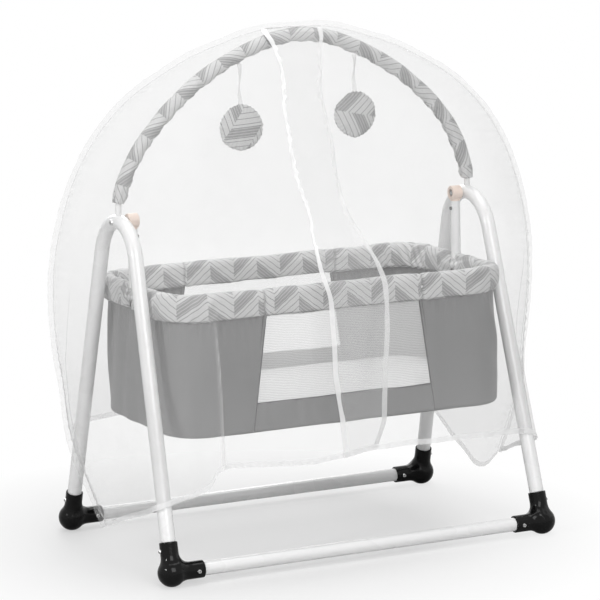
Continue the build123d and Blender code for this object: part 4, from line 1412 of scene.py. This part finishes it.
class SWING_OT_arch_sleeve(bpy.types.Operator):
    """Make the padded printed sleeve over the arch, puckered along its inner side"""

    bl_idname = "swing.arch_sleeve"
    bl_label = "Arch sleeve"

    radius: size_choice("Radius", "Radius of the sleeve", 0.0158)

    def execute(self, context):
        rows, columns = 460, 44
        heading = np.linspace(SLEEVE_HEADING, -SLEEVE_END_HEADING, 1200)
        line = np.array([arch_point(angle) for angle in heading])
        run = run_along(line)
        travel = np.linspace(0, run[-1], rows)
        x, z = read_along(line, run, travel).T[:, :, None]
        lean = np.radians(np.interp(travel, run, heading))[:, None]
        angle = np.linspace(0, FULL_TURN, columns, endpoint=False)
        radius = self.radius + self.puckers(travel[:, None], angle, run[-1])
        over, side = np.cos(angle) * radius, np.sin(angle) * radius
        points = grid(x - np.sin(lean) * over, side, z + np.cos(lean) * over)
        points = np.concatenate([self.tuck(points[0]), points, self.tuck(points[-1])[::-1]])
        turn = np.linspace(0, FULL_TURN * self.radius, columns + 1)
        flat = grid(np.pad(travel, 2, mode="edge")[:, None], turn) + 0.02
        piece = cloth_piece(
            "arch_cover", points, flat, printed(context.scene), "stand", "print_cloth", "arch_sleeve",
            round_again=True,
        )
        return {"FINISHED"}

    def puckers(self, run, turn, length):
        """Outward push: scallops along the inner side, lumps, a sunk seam and ruched ends."""
        inner = ease(-np.cos(turn), -0.1, 0.9)
        wander = 2.4 * smooth_noise(run / 0.06, 0.0, 91)
        scallops = SLEEVE_SCALLOPS * inner * wave(run, pitch=0.041, shift=wander + 0.8 * np.sin(turn))
        fine = SLEEVE_FINE * inner * wave(run, pitch=0.0135, shift=2 * wander)
        lumps = SLEEVE_LUMPS * smooth_noise(run / 0.045, turn, 92)
        seam = SLEEVE_SUNK_SEAM * hump(turn, math.pi, width=0.16)
        from_end = np.minimum(run, length - run)
        tight = SLEEVE_TIGHT * (1 - ease(from_end, 0.0, 0.022))
        ruche = SLEEVE_RUCHE * (1 - ease(from_end, 0.004, 0.05)) * np.sin(9 * turn)
        return scallops + fine + lumps - seam - tight + ruche

    def tuck(self, ring):
        """Two rings that turn an open end in to the arch tube."""
        centre = ring.mean(axis=0)
        inner = centre + (ring - centre) * 0.45
        return np.stack([inner + (0, 0, 0.003), (ring + inner) / 2])


class SWING_OT_toys(bpy.types.Operator):
    """Make the two stuffed discs and their ribbons"""

    bl_idname = "swing.toys"
    bl_label = "Hanging toys"

    def execute(self, context):
        material = printed(context.scene)
        tape = tape_cloth(context.scene.swing_finishes, "white_toy_ribbon", cover=0.48)
        for name, (slant, shift) in TOY_PRINTS.items():
            self.disc(name, slant, shift, material)
            self.ribbon(name, tape)
        return {"FINISHED"}

    def disc(self, name, slant, shift, material):
        """A stuffed disc with a stitched edge, its two faces in one grid of rings."""
        low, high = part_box(f"{name}_toy_disc")
        centre, radius, half = (low + high) / 2, (high.x - low.x) / 2, (high.y - low.y) / 2
        columns, rings = 132, 22
        turn = np.linspace(0, FULL_TURN, columns, endpoint=False)
        seed = 101 if name == "left" else 111
        stitches = np.sin(DISC_STITCHES * turn)
        outline = radius * (0.985 + 0.018 * np.cos(2 * turn + 0.6) + 0.014 * np.cos(3 * turn + seed))
        uneven = smooth_noise(turn * 20 / FULL_TURN, 0, seed + 5)
        outline = outline + DISC_STITCH * stitches + DISC_UNEVEN * uneven
        for place, width, depth in DISC_DENTS:
            outline = outline + depth * hump(turn, place, width)
        reach = np.append(np.linspace(0.02, 1.0, rings), np.linspace(0.985, 0.02, rings))[:, None]
        face = np.repeat([-1, 1], rings)[:, None]
        plump = half * (1 - reach**2.6) ** 0.62
        pull = DISC_PULL * ease(reach, 0.72, 0.97) * stitches * (1 - ease(reach, 0.97, 1.0))
        dimple = smooth_noise(reach * 5 * np.cos(turn) + 9, reach * 5 * np.sin(turn) + 9, seed)
        depth = face * np.maximum(plump + pull + DISC_DIMPLES * dimple * (1 - reach**6), DISC_LEAST)
        x, z = outline * reach * np.cos(turn), outline * reach * np.sin(turn)
        points = grid(centre.x + x, centre.y + depth, centre.z + z)
        spin = np.array([[math.cos(slant), -math.sin(slant)], [math.sin(slant), math.cos(slant)]])
        local = grid(x, z)
        flat = np.concatenate([local, local[:, :1]], axis=1) @ spin + shift
        piece = cloth_piece(
            f"{name}_stuffed_disc", points, flat, material, f"{name}_toy", "print_cloth",
            f"{name}_toy_disc", round_again=True, caps=True,
        )

    def ribbon(self, name, material):
        """The twisted ribbon that a disc hangs on."""
        low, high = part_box(f"{name}_toy_ribbon")
        level = np.linspace(high.z, low.z - TOY_RIBBON_TUCK, 40)[:, None]
        across = TOY_RIBBON_HALF * np.linspace(-1, 1, 7)
        drop = (high.z - level) / (high.z - low.z)
        twist = 0.9 * np.sin(drop * 2.4 + (0.4 if name == "left" else 1.1))
        twist = twist * np.sin(np.clip(drop, 0, 1) * math.pi)
        middle = (low.x + high.x) / 2 + TOY_RIBBON_SWAY * np.sin(drop * 7.0)
        piece = cloth_piece(
            f"{name}_hanging_ribbon", grid(middle + across * np.cos(twist), across * np.sin(twist), level),
            grid(high.z - level, across), material, f"{name}_toy", "white_ribbon", f"{name}_toy_ribbon",
        )
        thicken(piece, TOY_RIBBON_THICKNESS, 0.0)
        length = float(high.z - low.z) + TOY_RIBBON_TUCK
        declare_sheet(piece, 2 * TOY_RIBBON_HALF, length)


class NetForm:
    """The net's shape: level sections from the ridge down, each pointed at the two end seams."""

    def __init__(self, hem, dip):
        self.hem = hem
        self.dip = dip
        self.ridge = sleeve_top + NET_RIDGE_GAP
        levels = [(self.ridge - drop, out, back, depth) for drop, out, back, depth in NET_RIDGE_LEVELS]
        levels += [(z, out, back, foot_y + depth) for z, out, back, depth in NET_LEG_LEVELS]
        levels.reverse()
        levels = np.array([(z, apex_x + out, apex_x + out - back, depth) for z, out, back, depth in levels])
        lowest = levels[0, 0]
        even = np.linspace(lowest, self.ridge, NET_ROWS)
        self.heights = self.ridge - (self.ridge - lowest) * np.linspace(1, 0, NET_ROWS) ** NET_ROW_CROWD
        corner, depth = (self.eased(even, levels[:, 0], values) for values in levels.T[2:])
        self.seam = self.outline(levels)
        corner = np.minimum(corner, self.seam * 0.8)
        self.shares = np.linspace(0, 1, NET_SHARES)
        sections = [self.section(*level) for level in zip(self.seam, corner, depth)]
        self.half = np.array([length for length, _ in sections])
        self.table = np.stack([points for _, points in sections])
        self.seam_run = run_along(grid(self.seam, self.heights))

    def outline(self, levels):
        """Overhang of the end seam at each height, as one smooth line over the ridge."""
        right = levels[:, (1, 0)]
        line = np.concatenate([right, right[::-1] * (-1, 1)])
        run = run_along(line)
        spaced = np.linspace(0, run[-1], 2001)
        reach = int(NET_OUTLINE_SPREAD / spaced[1])
        spread = read_along(line, run, spaced).T
        x, z = (smoothed(values, reach, mode="reflect", reflect_type="odd") for values in spread)
        rising = (z < self.ridge - 1e-5) & (x > 0)
        return np.interp(self.heights, z[rising], x[rising])

    def eased(self, even, levels, values):
        """Values of the levels, eased between them, at each height."""
        spread = np.interp(even, levels, values)
        return np.interp(self.heights, even, smoothed(spread, 7, mode="reflect", reflect_type="odd"))

    def section(self, seam, corner, depth):
        """Half of a level section: its length, and its points at even shares of that length."""
        shoulder = depth - min(NET_FOLD_RISE, depth / 4)
        fold = corner * NET_FOLD_SHARE
        flank = ((corner + seam) / 2, shoulder / 2)
        guide = np.array([(0, depth), (fold, depth), (corner, shoulder), flank, (seam, 0)])
        mids = (guide[1:] + guide[:-1]) / 2
        t = np.linspace(0, 1, 14)[1:, None]
        bends = zip(mids, guide[1:], mids[1:])
        curves = [(1 - t) ** 2 * start + 2 * t * (1 - t) * bend + t**2 * stop for start, bend, stop in bends]
        curve = np.concatenate([guide[:1], mids[:1], *curves, guide[-1:]])
        run = run_along(curve)
        return run[-1], read_along(curve, run, self.shares * run[-1])

    def at(self, share, z, end):
        """Points of the front or rear face: share runs from -1 at the left seam to 1 at the right."""
        place = np.interp(z, self.heights, np.arange(len(self.heights)))
        row = np.minimum(place.astype(int), len(self.heights) - 2)
        up = (place - row)[..., None]
        reach = np.clip(np.abs(share), 0, 1) * (len(self.shares) - 1)
        column = np.minimum(reach.astype(int), len(self.shares) - 2)
        along = (reach - column)[..., None]
        first, second = self.table[:, :-1], self.table[:, 1:]
        low, high = (
            first[level, column] * (1 - along) + second[level, column] * along for level in (row, row + 1)
        )
        spot = low * (1 - up) + high * up
        if end < 0:
            corner = ease(share, 0.30, 0.60) * (1 - ease(share, 0.66, 1.0))
            spot[..., 0] -= corner * soft_curve(CORNER_PULL, z, 0.05)
        room = hump(z, SWING_ROOM_HEIGHT, SWING_ROOM_SPREAD) * (1 - ease(np.abs(share), *SWING_ROOM_END))
        spot[..., 1] += SWING_ROOM[end] * room
        return self.over_legs(grid(spot[..., 0] * np.sign(share), end * spot[..., 1], z), end)

    def over_legs(self, points, end):
        """Points drawn out over the legs, as cloth hangs over a pole."""
        rise = points[..., 2] - foot_z
        flare = LEG_FLANK * LEG_CLEAR
        for side in SIDES.values():
            out = np.array([side, end]) * LEG_OUTWARD
            leg = grid(side * (foot_x - LEG_LEAN * rise), end * (foot_y - LEG_SLOPE * rise))
            away = points[..., :2] - leg
            beside = away @ np.array([-out[1], out[0]])
            need = LEG_CLEAR - LEG_FLANK * (np.sqrt(beside**2 + flare**2) - flare) - away @ out
            lift = (need + np.sqrt(need**2 + LEG_EASE**2)) / 2
            lift = lift * (points[..., 0] * side > 0) * (1 - ease(points[..., 2], *LEG_FADE))
            points[..., :2] += lift[..., None] * out
        return points

    def half_at(self, z):
        """Half the way round one face at a height."""
        return np.interp(z, self.heights, self.half)

    def run_at(self, z):
        """Distance up the end seam to a height."""
        return np.interp(z, self.heights, self.seam_run)

    def hem_at(self, share, end):
        """Height of the hem: level across the face, drooping towards the end seams."""
        line = soft_curve(FRONT_HEM if end < 0 else REAR_HEM, share, HEM_SOFTNESS)
        wobble = smooth_noise(share * 14, 0, 121 if end < 0 else 122)
        return line + NET_HEM_WOBBLE * wobble * (1 - np.abs(share))

    def from_crease(self, share, z):
        """Distance along the front from the upright crease at its left."""
        return share * self.half_at(z) + CREASE_PLACE + CREASE_SLOPE * (z - CREASE_LEVEL)

    def folds(self, share, z, end, seed):
        """Outward push: gathers along the end seams, hanging folds, and a corner crease at the left."""
        half = self.half_at(z)
        from_seam = (1 - np.abs(share)) * half
        run = self.run_at(z)
        side = np.where(share < 0, 0.0, 40.0)
        pleats = wave(run, NET_SEAM_PLEAT, 2.6 * smooth_noise(run / 0.06 + side, side, seed))
        gathers = NET_GATHERS * np.exp(-from_seam / 0.045) * pleats * ease(from_seam, 0.0, 0.008)
        drop = self.ridge - z
        place = share * half
        hang = NET_HANG * smooth_noise(place / 0.075, z / 0.55 + 3, seed + 1) * ease(drop, 0.06, 0.45)
        fine = NET_FINE * smooth_noise(place / 0.022, z / 0.30, seed + 2) * ease(drop, 0.2, 0.9)
        crease = 0.0
        if end < 0:
            fold = hump(self.from_crease(share, z), centre=0.0, width=0.006)
            crease = NET_CREASE * fold * (1 - ease(z, *CREASE_FADE))
        return gathers + (hang + fine) * ease(from_seam, 0.0, 0.06) + crease

    def gather(self, share, z, end):
        """How much of the view the threads take: more at the end seams and at the crease, where they lie closer,
        and more low down.
        """
        from_seam = (1 - np.abs(share)) * self.half_at(z)
        run = self.run_at(z)
        pleats = 0.5 + 0.5 * wave(run, NET_SEAM_PLEAT, 2.6 * smooth_noise(run / 0.06, 0, 131))
        close = 0.20 * np.exp(-from_seam / 0.018) * (0.4 + 0.6 * pleats)
        face = 0.04 * ease(np.abs(share), 0.50, 0.72) * (1 - ease(z, 0.55, 0.95))
        face = face + 0.15 * (1 - ease(z, 0.26, 0.50))
        crease = 0.0
        if end < 0:
            place = self.from_crease(share, z)
            crease = 0.55 * hump(place, centre=0.0, width=0.0030) * (1 - ease(z, *CREASE_FADE))
            crease = crease + 0.08 * (1 - ease(place, -0.004, 0.004)) * (1 - ease(z, 0.50, 0.75))
        return close + face + crease


class SWING_OT_net(bpy.types.Operator):
    """Make the net canopy: rear panel, two front flaps, ribbons, hem tapes and seam band"""

    bl_idname = "swing.net"
    bl_label = "Net canopy"

    def execute(self, context):
        cloth, look = context.scene.swing_cloth, context.scene.swing_finishes
        self.cloth = cloth
        self.form = NetForm(cloth.net_hem, cloth.net_dip)
        self.net = net_cloth(look)
        # The rear hem tape is more see-through than the front one so that it looks lighter where it lies in shade:
        # painted light
        self.tapes = {
            -1: tape_cloth(look, "white_net_tape", cover=0.52),
            1: tape_cloth(look, "white_rear_tape", cover=0.22),
        }
        self.ribbon_cloth = tape_cloth(look, "white_net_ribbon", cover=0.66)
        band = self.seam_band()
        self.panel("net_back", 1, 0.0, None, None, "net_rear_panel", 141, [band])
        self.panel("net_flap_left", -1, 0.0, None, LEFT_FLAP_EDGE, "net_left_flap", 151)
        self.panel("net_flap_right", -1, NET_LAYER, RIGHT_FLAP_EDGE, None, "net_right_flap", 161)
        inner, outer = -NET_RIBBON_LIFT, NET_LAYER + NET_RIBBON_LIFT
        self.ribbon("net_ribbon_left", LEFT_FLAP_EDGE, -1, inner, "net_left_ribbon", 151)
        self.ribbon("net_ribbon_right", RIGHT_FLAP_EDGE, 1, outer, "net_right_ribbon", 161)
        return {"FINISHED"}

    def edge(self, points, z):
        """Distance of a flap's edge from the middle at a height."""
        return soft_curve(points, z, FLAP_SOFTNESS)

    def face(self, end, left, right, offset, seed, rows=150, columns=170):
        """A grid over one face of the net, from its left edge to its right edge."""
        form = self.form
        down = np.linspace(0, 1, rows)[:, None] ** NET_PANEL_CROWD
        across = np.linspace(0, 1, columns)[None, :]
        z = np.broadcast_to(form.ridge - (form.ridge - form.hem) * down, (rows, columns))
        for _ in range(3):
            half = form.half_at(z)
            start = -1.0 if left is None else self.edge(left, z) / half
            stop = 1.0 if right is None else self.edge(right, z) / half
            share = start + (stop - start) * across
            z = form.ridge - (form.ridge - form.hem_at(share, end)) * down
        points = form.at(share, z, end)
        normals = grid_normals(points)
        normals *= np.where(np.sum(normals * (points - (0, 0, 0.5)), axis=2, keepdims=True) < 0, -1, 1)
        push = form.folds(share, z, end, seed)
        push = np.where(z > form.ridge - NET_RIDGE_ZONE, np.maximum(push, 0), push) + offset
        return points + normals * push[..., None], share, z, normals

    def panel(self, name, end, offset, left, right, node, seed, pieces=()):
        """One sheet of net with its hem tape."""
        points, share, z, normals = self.face(end, left, right, offset, seed)
        hem = self.hem_tape(f"{name}_hem", points, normals, self.tapes[end])
        flat = grid(share * self.form.half_at(z), z)
        marks = {THREAD_COVER: self.form.gather(share, z, end)}
        piece = cloth_piece(name, points, flat, self.net, "stand", "net_cloth", node, marks=marks)
        wide = 2 * float(self.form.half.max())
        long = float(self.form.ridge - self.form.dip) + NET_CUT_SPARE
        declare_sheet(piece, wide, long)

    def hem_tape(self, name, points, normals, material):
        """A folded tape over the lowest edge of a panel."""
        run = run_along(points[-1])
        spaced = np.linspace(0, run[-1], 260)
        lines = (points[-1], points[-9], normals[-1])
        edge, above, out = (read_along(line, run, spaced) for line in lines)
        width = self.cloth.hem_tape
        share = np.linspace(-0.12, 1.0, 6)[:, None]
        pucker = TAPE_PUCKERS * wave(spaced, pitch=0.017, shift=2 * smooth_noise(spaced / 0.05, 0, 171))
        lift = TAPE_LIFT + pucker * (1 - share)
        rows = edge + unit(above - edge) * width * share[..., None] + out * lift[..., None]
        return cloth_piece(name, rows, grid(spaced, share * width), material, "stand", "white_ribbon")

    def ribbon(self, name, edge, side, offset, node, seed):
        """A ribbon along the edge of a flap."""
        form, width = self.form, self.cloth.ribbon
        low = float(form.hem_at(self.edge(edge, form.hem) / form.half_at(form.hem), -1)) + 0.002
        z = np.linspace(form.ridge - 0.004, low, 260)[:, None]
        across = np.linspace(0.0, 1.0, 5)[None, :]
        high = ease(z, 0.62, 0.72) * (1 - ease(z, form.ridge - 0.06, form.ridge - 0.02))
        twist = 1.18 - 0.35 * np.maximum(smooth_noise(z / 0.05, 3.0, seed + 4), 0) - 0.35 * high
        twist = twist + 0.30 * high * smooth_noise(z / 0.008, 5.0, seed + 5)
        crinkle = RIBBON_CRINKLE * high * smooth_noise(z / 0.011, 7.0, seed + 6)
        share = (self.edge(edge, z) + crinkle + side * width * across * twist) / form.half_at(z)
        z = z + 0 * share
        points = form.at(share, z, -1)
        normals = grid_normals(points)
        normals *= np.where(normals[:, :, 1:2] > 0, -1, 1)
        push = form.folds(share, z, -1, seed) + offset
        push = push + RIBBON_PUCKERS * high * smooth_noise(z / 0.009, 2.0 * across, seed + 7)
        push = np.where(z > form.ridge - NET_RIDGE_ZONE, np.maximum(push, 0) + 0.001, push)
        points = points + normals * push[..., None]
        flat = grid(form.ridge - z, width * across)
        piece = cloth_piece(name, points, flat, self.ribbon_cloth, "stand", "white_ribbon", node)
        declare_sheet(piece, width, float(lengths_along(points, 0)[-1, 0]))

    def seam_band(self):
        """A gathered band standing out along the end seam, from one hem over the ridge to the other."""
        form = self.form
        lows = (REAR_HEM[-1][1], REAR_HEM[0][1])
        levels = (np.append(low, form.heights[form.heights > low]) for low in lows)
        right, left = (grid(np.interp(z, form.heights, form.seam), z) for z in levels)
        top = np.linspace(right[-1, 0], -left[-1, 0], 40)[1:-1]
        line = np.concatenate([right, grid(top, form.ridge), left[::-1] * (-1, 1)])
        run = run_along(line)
        spaced = np.linspace(0, run[-1], 900)
        line = read_along(line, run, spaced)
        ahead = [smoothed(values, 15, mode="edge") for values in np.gradient(line, axis=0).T]
        out = unit(grid(ahead[1], -ahead[0]))
        share = np.linspace(-0.15, 1.0, 6)[:, None]
        ruffle = wave(spaced, pitch=0.026, shift=2.5 * smooth_noise(spaced / 0.07, 0, 181))
        uneven = 1 + 0.08 * smooth_noise(spaced / 0.03, 0, 182)
        width = self.cloth.seam_band
        place = line + out * (width * share * uneven)[..., None]
        points = grid(place[..., 0], BAND_RUFFLE * ruffle * np.maximum(share, 0), place[..., 1])
        close = (0.22 + 0.04 * ruffle) * (1 - 0.75 * ease(line[:, 1], form.ridge - 0.20, form.ridge - 0.03))
        marks = {THREAD_COVER: np.broadcast_to(close, points.shape[:2])}
        flat = grid(spaced, share * width)
        return cloth_piece("net_seam_band", points, flat, self.net, "stand", "net_cloth", marks=marks)


class SWING_PT_panel(bpy.types.Panel):
    """Lists the pieces of the swing's looks"""

    bl_idname = "SWING_PT_panel"
    bl_label = "Baby Swing"
    bl_space_type = "VIEW_3D"
    bl_region_type = "UI"
    bl_category = "Baby Swing"

    def draw(self, context):
        """A button for each operator, then the colours and the sizes."""
        for operator in OPERATORS:
            self.layout.operator(operator.bl_idname)
        for group in (context.scene.swing_finishes, context.scene.swing_cloth):
            box = self.layout.box()
            for name in group.__annotations__:
                box.prop(group, name)


OPERATORS = (
    SWING_OT_stage,
    SWING_OT_hard_parts,
    SWING_OT_feet,
    SWING_OT_rim_cuffs,
    SWING_OT_cot_cloth,
    SWING_OT_mattress,
    SWING_OT_arch_sleeve,
    SWING_OT_toys,
    SWING_OT_net,
)
CLASSES = (SwingFinishes, SwingCloth, *OPERATORS, SWING_PT_panel)


def register():
    """Make the swing's classes and settings known."""
    for cls in CLASSES:
        bpy.utils.register_class(cls)
    bpy.types.Scene.swing_finishes = bpy.props.PointerProperty(type=SwingFinishes)
    bpy.types.Scene.swing_cloth = bpy.props.PointerProperty(type=SwingCloth)


def unregister():
    """Take the swing's classes and settings away."""
    del bpy.types.Scene.swing_cloth
    del bpy.types.Scene.swing_finishes
    for cls in reversed(CLASSES):
        bpy.utils.unregister_class(cls)


def main():
    """Make every piece."""
    register()
    for operator in OPERATORS:
        group, action = operator.bl_idname.split(".")
        getattr(getattr(bpy.ops, group), action)()


if __name__ == "__main__":
    main()
